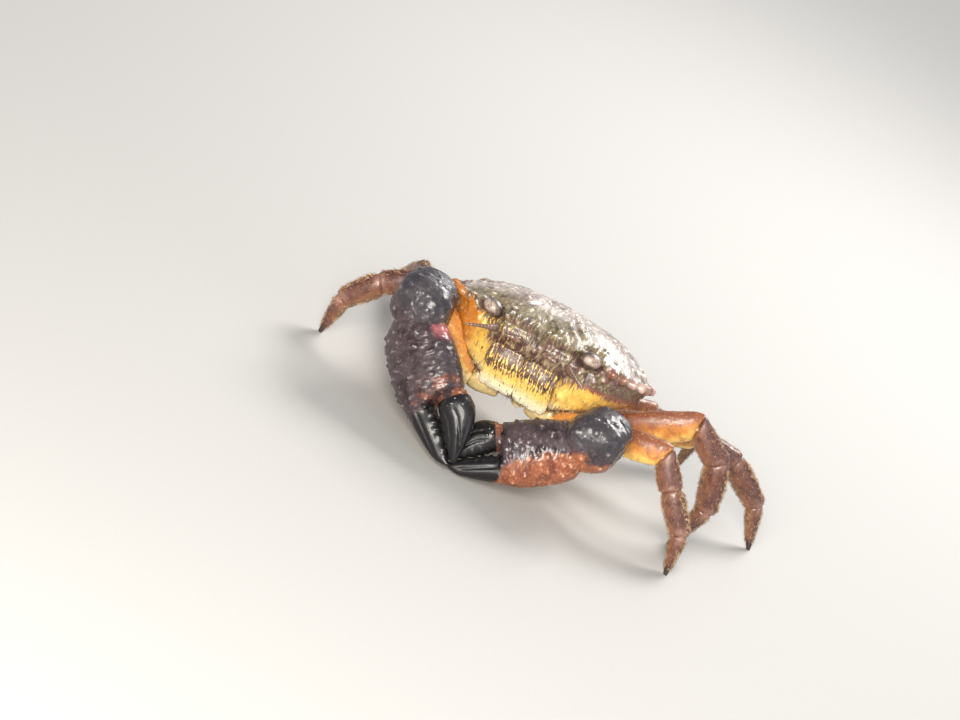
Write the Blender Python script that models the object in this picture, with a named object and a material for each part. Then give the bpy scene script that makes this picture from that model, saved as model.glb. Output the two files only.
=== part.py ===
"""A life-size still model of a warty shore crab, standing with its claws folded before its face.

Lengths are metres, +Z is up, and the crab faces -Y, so its left side is at +X. Each shell plate is
a closed solid of its own, lofted through rings and parted from its neighbours by a thin cut. The
carapace, thorax, mouth and eyes are shaped level, in the body's own frame, and an empty then raises
the front of the body. The limbs are shaped where they stand.
"""
import math

import bpy
import bmesh
from mathutils import Matrix, Vector

# ---------------------------------------------------------------- driving dimensions
MM = 0.001
UP = Vector((0, 0, 1))
CUT = 0.3 * MM                    # the parting between two plates
COLUMNS = 90                      # facets round the body

BODY_HEIGHT = 39.5 * MM           # carapace margin above the floor
BODY_TILT = math.radians(12)      # how far the front is raised
BODY_ROLL = math.radians(6)       # how far the left side is raised
BODY_PLACE = (Matrix.Translation(UP * BODY_HEIGHT) @ Matrix.Rotation(-BODY_ROLL, 4, "Y")
              @ Matrix.Rotation(-BODY_TILT, 4, "X"))
DOME_HEIGHT = 8.4 * MM            # top of the back above the margin
CORE_DEPTH = 9 * MM               # where carapace and thorax meet, inside the body
STERNUM_DEPTH = 23.5 * MM         # flat belly plate below the margin
TEETH = 6                         # teeth on each front corner of the carapace
FIRST_TOOTH = 48                  # bearing of the first tooth, in degrees
TOOTH_REACH = 1.6 * MM

# the carapace's margin and lower rim and the belly, by bearing from the front: degrees, millimetres
MARGIN_RADIUS = ((0, 26.0), (14, 27.9), (26, 29.5), (38, 30.8), (49, 33.0), (66, 34.0), (85, 34.6),
                 (98, 34.4), (113, 33.3), (129, 31.8), (144, 30.2), (159, 27.9), (180, 26.0))
MARGIN_LEVEL = ((0, 1.5), (40, 1.0), (85, -1.5), (130, -0.5), (180, 1.0))
RIM_RADIUS = ((0, 17.0), (28, 19.0), (52, 20.8), (90, 21.5), (125, 21.0), (180, 22.0))
RIM_LEVEL = ((0, -21.8), (28, -20.8), (52, -17.0), (80, -13.5), (110, -12.5), (150, -9.5), (180, -8.5))
BELLY_RADIUS = ((0, 12.0), (40, 14.5), (90, 14.5), (130, 16.0), (180, 17.5))

EYE = Vector((17.6, -24.6, 1.2)) * MM
EYE_GAZE = Vector((0.42, -0.88, 0.22)).normalized()
EYE_RADIUS = 2.9 * MM
ORBIT = Vector((17.6, -26.0, 0.9)) * MM
ORBIT_RADIUS = 5.2 * MM

MOUTH_WIDTH = 23.6 * MM
MOUTH_HEIGHT = 16.6 * MM
MOUTH_CENTRE = Vector((0, -23.9, -15.0)) * MM
MOUTH_LEAN = math.radians(36)     # how far the mouth plates lean back from upright
MOUTH_PLATE = 2.2 * MM
MOUTH_SILL = 2.4 * MM             # flat left round the mouth plates

# hips and first joints of the walking legs, in the body's frame and in millimetres, front to back
HIPS = {"1": ((20.5, -8.5, -20.2), (28.5, -9.5, -19.4)), "2": ((20.8, 0.5, -19.8), (28.5, 2.5, -19.2)),
        "3": ((20.4, 9.5, -18.9), (26.0, 15.0, -18.6)), "4": ((17.5, 17.5, -16.7), (20.5, 24.5, -16.4))}
# where each foot stands on the floor, in millimetres, and how steeply its merus rises, in degrees
FEET = {"left_1": ((71.7, -16), 18), "left_2": ((66.5, 5), 35), "left_3": ((88, 40), 15), "left_4": ((52, 60), 0),
        "right_1": ((-62, -15), 37), "right_2": ((-64, 64), 4), "right_3": ((-41, 87), 3),
        "right_4": ((-24, 80), 2)}
# merus, carpus, propodus and dactyl of each pair, and the depth of its merus, in millimetres
LEG_LENGTHS = {"1": (22.5, 11, 14.5, 14), "2": (29.5, 13.5, 17, 17),
               "3": (31, 15, 18.5, 17), "4": (24, 12.5, 15, 15)}
LEG_DEPTH = {"1": 10.4, "2": 11.6, "3": 11.2, "4": 9.6}
KNEE_BEND = 20                    # least bend between merus and carpus, in degrees
TOE_BENDS = range(30, 120, 2)     # bends to try between propodus and dactyl, in degrees
LEG_COXA = 3.9 * MM               # radius of a walking leg's coxa
CLAW_COXA = 4.6 * MM
COXA_LENGTH = 10 * MM
FOOT_FLAT = 0.75 * MM             # half width of the flat under each toe
LEG_SIDES = 10

SHOULDER = Vector((15.0, -15.6, -21.6)) * MM
# each claw: elbow, middle of the carpus, wrist, fingertip, palm height, carpus radius, outer face
CLAWS = {
    "left": ((30, -25, 26.5), (32.5, -29.5, 30), (28.5, -31.5, 24.8), (-3, -46, 3.5), 19.5, 9.2, (0.1, -0.8, 0.6)),
    "right": ((-33, -23, 30), (-36.5, -27.5, 34), (-35, -31, 28), (1, -51, 6), 21.5, 9.6, (-0.7, -0.6, 0.4)),
}
SHOULDER_AXIS = Vector((1, -0.3, 0)).normalized()
CLAW_SIDES = 12

# colour and roughness of each kind of plate
SHELL = (0.16, 0.13, 0.10), 0.35
CLAW = (0.15, 0.10, 0.12), 0.35
FINGER = (0.015, 0.013, 0.015), 0.25
MERUS = (0.62, 0.27, 0.08), 0.45
LOWER_LEG = (0.33, 0.11, 0.06), 0.5
BELLY = (0.75, 0.62, 0.38), 0.45
MOUTH = (0.55, 0.42, 0.16), 0.45
EYE_GLASS = (0.03, 0.05, 0.03), 0.1

# ---------------------------------------------------------------- helpers


def finish(name, look):
    """One material for each sub-part."""
    colour, roughness = look
    material = bpy.data.materials.new(name)
    material.use_nodes = True
    shader = material.node_tree.nodes["Principled BSDF"]
    shader.inputs["Base Color"].default_value = (*colour, 1)
    shader.inputs["Roughness"].default_value = roughness
    shader.inputs["Metallic"].default_value = 0.0
    return material


def add_object(name, mesh, parent):
    """Turn a bmesh into an object with its faces pointing out."""
    bmesh.ops.recalc_face_normals(mesh, faces=mesh.faces)
    bmesh.ops.triangulate(mesh, faces=[f for f in mesh.faces if len(f.verts) > 3])
    data = bpy.data.meshes.new(name)
    mesh.to_mesh(data)
    mesh.free()
    data.shade_smooth()
    data.set_sharp_from_angle(angle=math.radians(50))
    obj = bpy.data.objects.new(name, data)
    bpy.context.scene.collection.objects.link(obj)
    obj.parent = parent
    return obj


def loft_into(mesh, rings):
    """A closed body through rings of equal count; an end ring of one point is a tip, others get caps."""
    loops = [[mesh.verts.new(p) for p in ring] for ring in rings]
    for near, far in zip(loops, loops[1:]):
        count = max(len(near), len(far))
        for i in range(count):
            j = (i + 1) % count
            corners = [near[i % len(near)], near[j % len(near)], far[j % len(far)], far[i % len(far)]]
            mesh.faces.new(list(dict.fromkeys(corners)))
    for loop in (loops[0], loops[-1]):
        if len(loop) > 1:
            mesh.faces.new(loop)


def loft(name, rings, look, parent):
    mesh = bmesh.new()
    loft_into(mesh, rings)
    obj = add_object(name, mesh, parent)
    obj.data.materials.append(finish(name, look))
    return obj


def clearance(obj, parent):
    """A hidden copy of a plate, grown by a little more than the parting, to cut its neighbours with."""
    mesh = bmesh.new()
    mesh.from_mesh(obj.data)
    for vertex in mesh.verts:
        vertex.co += vertex.normal * 1.3 * CUT
    guide = add_object(obj.name + "_clearance", mesh, parent)
    guide.hide_render = True
    guide.display_type = "WIRE"
    return guide


def cut_with(obj, guide):
    cut = obj.modifiers.new(guide.name, "BOOLEAN")
    cut.operation = "DIFFERENCE"
    cut.object = guide


def section(centre, along, side, low, high, half_side, sides, plane=None):
    """An oval across `along`, reaching `low` below and `high` above, slid on to `plane` if given."""
    along = along.normalized()
    side = (side - along * side.dot(along)).normalized()
    up = side.cross(along)
    plane = plane or along
    points = []
    for i in range(sides):
        angle = 2 * math.pi * (i + 0.5) / sides
        rise = (high - low) / 2 + (high + low) / 2 * math.sin(angle)
        point = centre + side * half_side * math.cos(angle) + up * rise
        points.append(point - along * (point - centre).dot(plane) / along.dot(plane))
    return points


def read(table, bearing):
    """A value of a (bearing, millimetres) table, on a smooth curve that is level at both ends."""
    bearing = abs(bearing)
    keys = [key for key, _ in table]
    values = [value * MM for _, value in table]
    i = max([j for j in range(len(keys) - 1) if keys[j] <= bearing])
    span = keys[i + 1] - keys[i]
    t = (bearing - keys[i]) / span

    def slope(j):
        if j in (0, len(keys) - 1):
            return 0.0
        return (values[j + 1] - values[j - 1]) / (keys[j + 1] - keys[j - 1])

    return ((2 * t**3 - 3 * t**2 + 1) * values[i] + (t**3 - 2 * t**2 + t) * slope(i) * span
            + (3 * t**2 - 2 * t**3) * values[i + 1] + (t**3 - t**2) * slope(i + 1) * span)


def bearings(step=1):
    """Bearings round the body from the front, in degrees."""
    return [-180 + 360 * i / COLUMNS for i in range(0, COLUMNS, step)]


def around(bearing, radius, level):
    angle = math.radians(bearing)
    return Vector((radius * math.sin(angle), -radius * math.cos(angle), level))


def mirrored(vector, hand):
    """The vector on the crab's left for hand 1, on its right for hand -1."""
    return Vector((vector.x * hand, vector.y, vector.z))


# ---------------------------------------------------------------- carapace


def orbit_cup(point):
    """Press a point inside either eye socket back to the socket's far wall."""
    for hand in (1, -1):
        offset = point - mirrored(ORBIT, hand)
        inward = -mirrored(EYE_GAZE, hand)
        depth = offset.dot(inward)
        across = (offset - inward * depth).length
        if offset.length < ORBIT_RADIUS:
            return point + inward * (math.sqrt(ORBIT_RADIUS**2 - across**2) - depth)
    return point


def mouth_frame(point):
    """Press a point in front of the mouth plates' seat back on to it."""
    normal = Vector((0, -math.cos(MOUTH_LEAN), -math.sin(MOUTH_LEAN)))
    upward = Vector((0, -math.sin(MOUTH_LEAN), math.cos(MOUTH_LEAN)))
    offset = point - MOUTH_CENTRE
    inside = (abs(offset.x) < MOUTH_WIDTH / 2 + MOUTH_SILL
              and abs(offset.dot(upward)) < MOUTH_HEIGHT / 2 + MOUTH_SILL)
    proud = offset.dot(normal) + MOUTH_PLATE / 2 + CUT
    if inside and proud > 0:
        return point - normal * proud
    return point


def margin_point(bearing):
    """The edge of the carapace, with its teeth."""
    place = (abs(bearing) - FIRST_TOOTH) / (2 * 360 / COLUMNS)
    nearest = round(place)
    radius = read(MARGIN_RADIUS, bearing)
    if 0 <= nearest < TEETH and abs(place - nearest) < 0.1:
        radius += TOOTH_REACH * (1 - 0.08 * nearest)
    return around(bearing, radius, read(MARGIN_LEVEL, bearing))


def carapace(parent):
    """The domed back, its toothed margin, the cheeks below it, and an inner cone that closes it."""
    rings = [[Vector((0, 0, DOME_HEIGHT))]]
    for share in (0.25, 0.48, 0.68, 0.84, 0.95):
        ring = []
        for bearing in bearings():
            level = read(MARGIN_LEVEL, bearing)
            fullness = 2.6 + 0.6 * math.cos(math.radians(bearing))
            height = level + (DOME_HEIGHT - level) * (1 - share**fullness) ** 0.8
            ring.append(orbit_cup(around(bearing, share * read(MARGIN_RADIUS, bearing), height)))
        rings.append(ring)
    rings.append([orbit_cup(margin_point(bearing)) for bearing in bearings()])
    for share in (0.16, 0.32, 0.48, 0.65, 0.83, 1.0):
        ring = []
        for bearing in bearings():
            outer, inner = read(MARGIN_RADIUS, bearing), read(RIM_RADIUS, bearing)
            top, low = read(MARGIN_LEVEL, bearing), read(RIM_LEVEL, bearing)
            turn = share * math.pi / 2
            radius = inner + (outer - inner) * max(math.cos(turn), 0) ** 0.8
            point = around(bearing, radius, top - (top - low) * math.sin(turn))
            ring.append(mouth_frame(orbit_cup(point)))
        rings.append(ring)
    rings.append([Vector((0, 0, -CORE_DEPTH))])
    return loft("carapace", rings, SHELL, parent)


# ---------------------------------------------------------------- belly


def thorax(shell_guide, body):
    """The belly: side walls round the flat sternum, joined with the coxa of every limb."""
    rings = [[Vector((0, 0, -CORE_DEPTH - 2 * CUT))]]
    upper, middle, lower, inner = [], [], [], []
    for bearing in bearings(3):
        rim, belly = read(RIM_RADIUS, bearing), read(BELLY_RADIUS, bearing)
        level = read(RIM_LEVEL, bearing)
        upper.append(around(bearing, rim - CUT, level - 1.6 * CUT))
        middle.append(around(bearing, 0.42 * rim + 0.58 * belly, 0.45 * level - 0.55 * STERNUM_DEPTH))
        lower.append(around(bearing, belly, -STERNUM_DEPTH))
        inner.append(around(bearing, 0.5 * belly, -STERNUM_DEPTH - CUT))
    rings += [upper, middle, lower, inner]
    obj = loft("thorax", rings, BELLY, body)
    mesh = bmesh.new()
    for hand in (1, -1):
        for hip, first_joint in HIPS.values():
            hip, first_joint = (mirrored(Vector(point) * MM, hand) for point in (hip, first_joint))
            coxa_into(mesh, hip, coxa_axis(hip, first_joint), LEG_COXA)
        shoulder = mirrored(SHOULDER, hand)
        coxa_into(mesh, shoulder, mirrored(SHOULDER_AXIS, hand), CLAW_COXA)
    guide = add_object("thorax_coxae", mesh, body)
    guide.hide_render = True
    guide.display_type = "WIRE"
    union = obj.modifiers.new("coxae", "BOOLEAN")
    union.operation = "UNION"
    union.object = guide
    union.use_self = True
    cut_with(obj, shell_guide)


def coxa_axis(hip, first_joint):
    """Halfway between straight out of the body and the line of the leg's next piece."""
    return ((first_joint - hip).normalized() + Vector((math.copysign(1, hip.x), 0, 0))).normalized()


def coxa_into(mesh, hip, along, radius):
    """A short barrel from deep inside the belly wall out to the hip."""
    side = UP.cross(along)
    rings = []
    for back, share in ((COXA_LENGTH, 0.8), (0.4 * COXA_LENGTH, 1.0), (0.12 * COXA_LENGTH, 0.96), (0, 0.84)):
        reach = radius * share
        rings.append(section(hip - along * back, along, side, reach, reach, 0.92 * reach, LEG_SIDES))
    loft_into(mesh, rings)


def abdomen(parent):
    """The narrow tail flap, folded from the rear edge forward under the sternum."""
    centres = ((24.2, -10.5), (23, -15), (21.2, -20.9), (17.4, -25.5), (10.5, -25.5), (4, -25.5), (-3, -25.5))
    half_widths = (9.5, 9.0, 7.6, 6.4, 4.8, 3.8, 1.4)
    points = [Vector((0, y, z)) * MM for y, z in centres]
    rings = []
    for i, (point, half_width) in enumerate(zip(points, half_widths)):
        along = points[min(i + 1, len(points) - 1)] - points[max(i - 1, 0)]
        rings.append(section(point, along, Vector((1, 0, 0)), 0.9 * MM, 0.9 * MM, half_width * MM, 12))
    return loft("abdomen", rings, BELLY, parent)


# ---------------------------------------------------------------- face


def maxilliped(name, hand, parent):
    """One of the two flat plates that shut over the mouth."""
    normal = Vector((0, -math.cos(MOUTH_LEAN), -math.sin(MOUTH_LEAN)))
    upward = Vector((0, -math.sin(MOUTH_LEAN), math.cos(MOUTH_LEAN)))
    half_width = MOUTH_WIDTH / 4 - CUT / 2
    centre = MOUTH_CENTRE + Vector((hand * (half_width + CUT / 2), 0, 0))
    rings = []
    for depth, inset in ((-1, 0.5), (-0.55, 0), (0.3, 0.1), (0.8, 0.6), (1, 1.6)):
        ring = []
        for i in range(16):
            angle = 2 * math.pi * (i + 0.5) / 16
            c, s = math.cos(angle), math.sin(angle)
            square = 1 / (c**6 + s**6) ** (1 / 6)
            across = (half_width - inset * MM) * square * c
            rise = (MOUTH_HEIGHT / 2 - inset * MM) * square * s
            ring.append(centre + Vector((across, 0, 0)) + upward * rise + normal * depth * MOUTH_PLATE / 2)
        rings.append(ring)
    return loft(name, rings, MOUTH, parent)


def eye(name, hand, parent):
    """The cornea: a ball cut off where it meets its stalk."""
    gaze = mirrored(EYE_GAZE, hand)
    centre = mirrored(EYE, hand)
    rings = []
    for turn in (-30, -10, 12, 35, 60):
        reach = EYE_RADIUS * math.cos(math.radians(turn))
        rings.append(section(centre + gaze * EYE_RADIUS * math.sin(math.radians(turn)), gaze,
                             UP.cross(gaze), reach, reach, reach, 12))
    rings.append([centre + gaze * EYE_RADIUS])
    return loft(name, rings, EYE_GLASS, parent)


def eyestalk(name, hand, parent):
    """The short thick stalk, from the back of the socket to the eye."""
    gaze = mirrored(EYE_GAZE, hand)
    end = mirrored(EYE, hand) - gaze * (EYE_RADIUS * math.sin(math.radians(30)) + CUT)
    rings = []
    for back, share in ((1.2, 0.6), (0.8, 0.8), (0.4, 0.88), (0, 0.84)):
        reach = EYE_RADIUS * share
        rings.append(section(end - gaze * back * MM, gaze, UP.cross(gaze), reach, reach, reach, 12))
    return loft(name, rings, SHELL, parent)


def feeler(name, hand, points, radii, parent):
    """A short tapering feeler through a few points."""
    points = [mirrored(Vector(p) * MM, hand) for p in points]
    rings = []
    for i, radius in enumerate(radii):
        along = points[min(i + 1, len(points) - 1)] - points[max(i - 1, 0)]
        reach = radius * MM
        rings.append(section(points[i], along, UP.cross(along), reach, reach, reach, 8))
    return loft(name, rings, MOUTH, parent)


ANTENNA = ((12.6, -28.4, -3.4), (13.4, -30.2, -3.7), (14.6, -32, -4), (17, -34, -4.6), (20.5, -35.6, -6))
ANTENNA_RADII = (1.25, 1.1, 0.75, 0.45, 0.26)
ANTENNULE = ((4.4, -27.7, -3.4), (4.6, -29.4, -3.4), (6.4, -30.4, -3.2), (9, -30.6, -3.6))
ANTENNULE_RADII = (1.3, 1.15, 0.8, 0.35)

# ---------------------------------------------------------------- legs


def direction(outward, angle):
    """A unit vector in a leg's upright plane, rising by the angle."""
    return outward * math.cos(angle) + UP * math.sin(angle)


def leg_joints(first_joint, foot, lengths, rise):
    """Knee, ankle and toe joint of a leg that stands on its foot with the least bend at the toe."""
    merus, carpus, propodus, dactyl = lengths
    outward = Vector((foot.x - first_joint.x, foot.y - first_joint.y, 0)).normalized()
    knee = first_joint + direction(outward, math.radians(rise)) * merus
    span = (foot - knee).length
    fall = math.atan2(foot.z - knee.z, (foot - knee).dot(outward))
    for bend in map(math.radians, TOE_BENDS):
        reach = math.sqrt(propodus**2 + dactyl**2 + 2 * propodus * dactyl * math.cos(bend))
        lift = math.acos(max(-1, min(1, (carpus**2 + span**2 - reach**2) / (2 * carpus * span))))
        if fall + lift < math.radians(rise - KNEE_BEND):
            break
    ankle = knee + direction(outward, fall + lift) * carpus
    fall = math.atan2(foot.z - ankle.z, (foot - ankle).dot(outward))
    lead = math.asin(dactyl * math.sin(bend) / reach)
    toe_joint = ankle + direction(outward, fall + lead) * propodus
    return knee, ankle, toe_joint


# share of the length, reach below and above the middle, and half thickness, as shares of leg depth
MERUS_SHAPE = ((0.2, 0.42, 0.42, 0.25), (0.45, 0.47, 0.50, 0.28), (0.75, 0.46, 0.47, 0.29))
CARPUS_SHAPE = ((0.3, 0.31, 0.39, 0.27), (0.75, 0.36, 0.42, 0.30))
PROPODUS_SHAPE = ((0.25, 0.37, 0.36, 0.28), (0.7, 0.35, 0.33, 0.26))
DACTYL_SHAPE = ((0.25, 0.23, 0.24, 0.2), (0.55, 0.16, 0.17, 0.14), (0.82, 0.095, 0.1, 0.09))
KNEE_SHARES = (0.36, 0.38, 0.25), (0.28, 0.32, 0.22)
ANKLE_SHARES = (0.32, 0.36, 0.26), (0.28, 0.31, 0.22)
TOE_SHARES = (0.28, 0.27, 0.21), (0.22, 0.23, 0.18)


def leg(name, root):
    """The merus with its ischium, the carpus, the propodus and the dactyl of one leg."""
    side_name, pair = name.split("_")
    hand = 1 if side_name == "left" else -1
    level_joints = [mirrored(Vector(point) * MM, hand) for point in HIPS[pair]]
    hip, first_joint = (BODY_PLACE @ point for point in level_joints)
    at_hip = BODY_PLACE.to_3x3() @ coxa_axis(*level_joints)
    (x, y), rise = FEET[name]
    foot = Vector((x, y, 0)) * MM
    knee, ankle, toe = leg_joints(first_joint, foot, [x * MM for x in LEG_LENGTHS[pair]], rise)
    depth = LEG_DEPTH[pair] * MM
    side = UP.cross(foot - first_joint).normalized()

    def oval(centre, along, shares, plane=None):
        low, high, thick = (share * depth for share in shares)
        return section(centre, along, side, low, high, thick, LEG_SIDES, plane)

    def plate(start, end, near_plane, far_plane, near_shares, shape, far_shares):
        along = (end - start).normalized()
        near = start + along * CUT / 2 / along.dot(near_plane)
        far = end - along * CUT / 2 / along.dot(far_plane)
        rings = [oval(near, along, near_shares, near_plane)]
        rings += [oval(start.lerp(end, share), along, shares) for share, *shares in shape]
        rings.append(oval(far, along, far_shares, far_plane))
        return rings

    def mitre(before, joint, after):
        return ((joint - before).normalized() + (after - joint).normalized()).normalized()

    at_knee = mitre(first_joint, knee, ankle)
    at_ankle = mitre(knee, ankle, toe)
    at_toe = mitre(ankle, toe, foot)
    inner = (first_joint - hip).normalized()
    merus_rings = plate(first_joint, knee, mitre(hip, first_joint, knee), at_knee,
                        (0.36, 0.36, 0.27), MERUS_SHAPE, KNEE_SHARES[0])
    ischium = [oval(hip + inner * CUT / inner.dot(at_hip), inner, (0.3, 0.3, 0.27), at_hip),
               oval(hip.lerp(first_joint, 0.45), inner, (0.35, 0.35, 0.29))]
    loft(name + "_merus", ischium + merus_rings, MERUS, root)
    loft(name + "_carpus", plate(knee, ankle, at_knee, at_ankle, KNEE_SHARES[1],
                                 CARPUS_SHAPE, ANKLE_SHARES[0]), LOWER_LEG, root)
    loft(name + "_propodus", plate(ankle, toe, at_ankle, at_toe, ANKLE_SHARES[1],
                                   PROPODUS_SHAPE, TOE_SHARES[0]), LOWER_LEG, root)
    dactyl_rings = plate(toe, foot, at_toe, UP, TOE_SHARES[1], DACTYL_SHAPE, (0.1, 0.1, 0.1))
    flat = FOOT_FLAT / depth
    dactyl_rings[-1] = oval(foot, (foot - toe).normalized(), (flat, flat, flat), UP)
    loft(name + "_dactyl", dactyl_rings, LOWER_LEG, root)


# ---------------------------------------------------------------- claws

KNUCKLE_TURNS = (-66, -42, -15, 15, 42, 66)
# share of the claw's length, lower and upper edge and half thickness as shares of its height
PALM_SHAPE = ((0.0, -0.24, 0.22, 0.22), (0.05, -0.40, 0.32, 0.30), (0.16, -0.53, 0.38, 0.36),
              (0.32, -0.58, 0.43, 0.38), (0.47, -0.57, 0.46, 0.36), (0.56, -0.53, 0.46, 0.31),
              (0.60, -0.50, -0.03, 0.23), (0.72, -0.44, -0.07, 0.18), (0.84, -0.37, -0.09, 0.13),
              (0.94, -0.28, -0.1, 0.08), (1.0, -0.16, -0.1, 0.03))
FINGER_SHAPE = ((0.66, 0.0, 0.52, 0.23), (0.76, -0.03, 0.5, 0.19), (0.86, -0.05, 0.36, 0.14),
                (0.95, -0.06, 0.16, 0.08), (1.0, -0.06, 0.02, 0.04))


def claw(name, hand, shell_guide, root):
    """The merus, carpus, palm with its fixed finger, and movable finger of one claw."""
    *joints, height, radius, outer_face = CLAWS[name]
    elbow, knob, wrist, tip = (Vector(joint) * MM for joint in joints)
    shoulder = BODY_PLACE @ mirrored(SHOULDER, hand)
    at_shoulder = BODY_PLACE.to_3x3() @ mirrored(SHOULDER_AXIS, hand)
    height *= MM
    radius *= MM
    along = (tip - wrist).normalized()
    length = (tip - wrist).length
    outer = Vector(outer_face)
    outer = (outer - along * outer.dot(along)).normalized()
    side = outer if outer.cross(along).z > 0 else -outer
    up = side.cross(along).normalized()

    def oval(share, low, high, thick, plane=None):
        return section(wrist + along * length * share, along, side, -low * height, high * height,
                       thick * height, CLAW_SIDES, plane)

    palm = loft(name + "_claw_palm", [oval(*shares) for shares in PALM_SHAPE], CLAW, root)

    # the movable finger starts on a plane against the palm's slanting end
    low_end = wrist + along * length * 0.60 - up * 0.03 * height
    high_end = wrist + along * length * 0.56 + up * 0.47 * height
    hinge = (high_end - low_end).cross(side).normalized()
    hinge = hinge if hinge.dot(along) > 0 else -hinge
    start = low_end.lerp(high_end, 0.5) + hinge * 1.5 * CUT
    reach = 0.2 * height
    rings = [section(start, along, side, reach, reach, 0.95 * reach, CLAW_SIDES, hinge)]
    rings += [oval(*shares) for shares in FINGER_SHAPE]
    loft(name + "_claw_finger", rings, FINGER, root)

    bend = (along - (shoulder - elbow).normalized()).normalized()
    carpus = loft(name + "_claw_carpus", knuckle(knob, bend, radius), CLAW, root)

    inner = (elbow - shoulder).normalized()
    level = UP.cross(inner)
    rings = []
    for share, deep, thick in MERUS_PRISM:
        centre = shoulder.lerp(elbow, share)
        plane = None
        if share == 0:
            centre += inner * CUT / inner.dot(at_shoulder)
            plane = at_shoulder
        deep, thick = deep * height, thick * height
        rings.append(section(centre, inner, level, deep, deep, thick, CLAW_SIDES, plane))
    merus = loft(name + "_claw_merus", rings, MERUS, root)

    # palm and merus are hollowed to sit against the carpus, and the merus clears palm and carapace
    socket = clearance(carpus, root)
    cut_with(palm, socket)
    for guide in (socket, clearance(palm, root), shell_guide):
        cut_with(merus, guide)


def knuckle(centre, along, radius):
    """Rings of the carpus: a squared, slightly flattened ball that swells towards the palm."""
    rings = [[centre - along * radius]]
    for turn in KNUCKLE_TURNS:
        sine = math.sin(math.radians(turn))
        reach = radius * math.cos(math.radians(turn)) ** 0.75
        rings.append(section(centre + along * radius * sine, along, UP.cross(along), reach * (1 - 0.08 * sine),
                             reach, reach * 0.92, CLAW_SIDES))
    rings.append([centre + along * radius])
    return rings


# share of the way from shoulder to elbow, and half depth and half thickness as shares of palm height
MERUS_PRISM = ((0, 0.2, 0.19), (0.3, 0.23, 0.2), (0.7, 0.33, 0.25), (1.0, 0.34, 0.27), (1.2, 0.3, 0.25))

# ---------------------------------------------------------------- the crab


def main():
    for obj in list(bpy.data.objects):
        bpy.data.objects.remove(obj)
    root = bpy.data.objects.new("crab", None)
    body = bpy.data.objects.new("body", None)
    for empty in (root, body):
        bpy.context.scene.collection.objects.link(empty)
    body.parent = root
    body.matrix_local = BODY_PLACE

    shell_guide = clearance(carapace(body), body)
    thorax(shell_guide, body)
    abdomen(body)
    for side_name, hand in (("left", 1), ("right", -1)):
        maxilliped(side_name + "_maxilliped", hand, body)
        eyestalk(side_name + "_eyestalk", hand, body)
        eye(side_name + "_eye", hand, body)
        feeler(side_name + "_antenna", hand, ANTENNA, ANTENNA_RADII, body)
        feeler(side_name + "_antennule", hand, ANTENNULE, ANTENNULE_RADII, body)
        claw(side_name, hand, shell_guide, root)
    for name in FEET:
        leg(name, root)

    # the origin is under the middle of the whole model
    bpy.context.view_layer.update()
    corners = [obj.matrix_world @ vertex.co for obj in bpy.data.objects if obj.type == "MESH"
               for vertex in obj.data.vertices]
    middle = [(min(c[axis] for c in corners) + max(c[axis] for c in corners)) / 2 for axis in (0, 1)]
    root.location = (-middle[0], -middle[1], 0)


main()
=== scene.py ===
# %% [markdown]
# # A warty shore crab, life size
# The crab crouches on its toes with both claws folded in front of its face. A crab wears its skeleton
# outside: hard plates that meet at thin soft joints. The frame loaded here already holds one plain closed
# solid for each plate, at its true place and size. This script turns each of them into a plate with the
# warts, teeth, colours and hairs of the living animal, and sets up the light and the camera.

# %% Load the frame
import math

import bmesh
import bpy
import numpy as np
from mathutils import Matrix, Vector


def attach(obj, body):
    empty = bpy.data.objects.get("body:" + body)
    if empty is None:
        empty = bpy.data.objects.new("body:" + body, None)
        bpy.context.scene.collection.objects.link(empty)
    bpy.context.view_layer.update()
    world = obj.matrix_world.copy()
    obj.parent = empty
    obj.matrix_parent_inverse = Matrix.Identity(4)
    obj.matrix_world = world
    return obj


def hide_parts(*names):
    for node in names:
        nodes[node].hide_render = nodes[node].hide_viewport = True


MM = 0.001
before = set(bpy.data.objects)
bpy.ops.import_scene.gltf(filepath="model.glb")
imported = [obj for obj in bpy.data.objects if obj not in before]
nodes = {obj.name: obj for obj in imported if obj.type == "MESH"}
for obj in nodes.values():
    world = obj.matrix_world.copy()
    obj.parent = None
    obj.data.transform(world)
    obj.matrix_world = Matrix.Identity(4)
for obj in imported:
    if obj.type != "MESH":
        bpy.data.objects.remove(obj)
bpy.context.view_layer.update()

# %% [markdown]
# ## Where the body is
# The body is held with its front raised and its left side a little higher. Warts and colours follow the
# body and not the floor, so points are read in the body's own frame: x to the crab's left, y towards the
# tail, z up, in millimetres. Both eyes sit at known places on it, so the frame is measured from them.

# %% The body's own frame
BODY_TILT = math.radians(12)
EYES_IN_BODY = np.array((0, -25.13, 1.33))      # the point midway between the eyes


def points_of(name):
    """The corners of a CAD plate, in metres."""
    return np.array([nodes[name].matrix_world @ v.co for v in nodes[name].data.vertices])


left_eye, right_eye = (points_of(side + "_eye").mean(axis=0) for side in ("left", "right"))
body_roll = math.atan2(left_eye[2] - right_eye[2], left_eye[0] - right_eye[0])
body_axes = np.array(Matrix.Rotation(-body_roll, 3, "Y") @ Matrix.Rotation(-BODY_TILT, 3, "X"))
body_origin = (left_eye + right_eye) / 2 - body_axes @ EYES_IN_BODY * MM


def in_body(points):
    """Points of the row frame, in metres, as points of the body's frame, in millimetres."""
    return (points - body_origin) @ body_axes / MM


def from_body(points):
    """The other way round."""
    return points @ body_axes.T * MM + body_origin


print("body rolled", round(math.degrees(body_roll), 2), "degrees, origin at", (body_origin / MM).round(1))

# %% [markdown]
# ## Roughness that never repeats
# Shell is never smooth. Two tools make all of its unevenness: a soft noise for dents and for the edges of
# patches, and a wart field, which scatters round bumps at a chosen spacing. Blender's own noise textures
# could do it too, but the same numbers are also needed as masks. So both are worked out from the points'
# places with whole-number scrambling, and every run gives the same crab.

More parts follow.
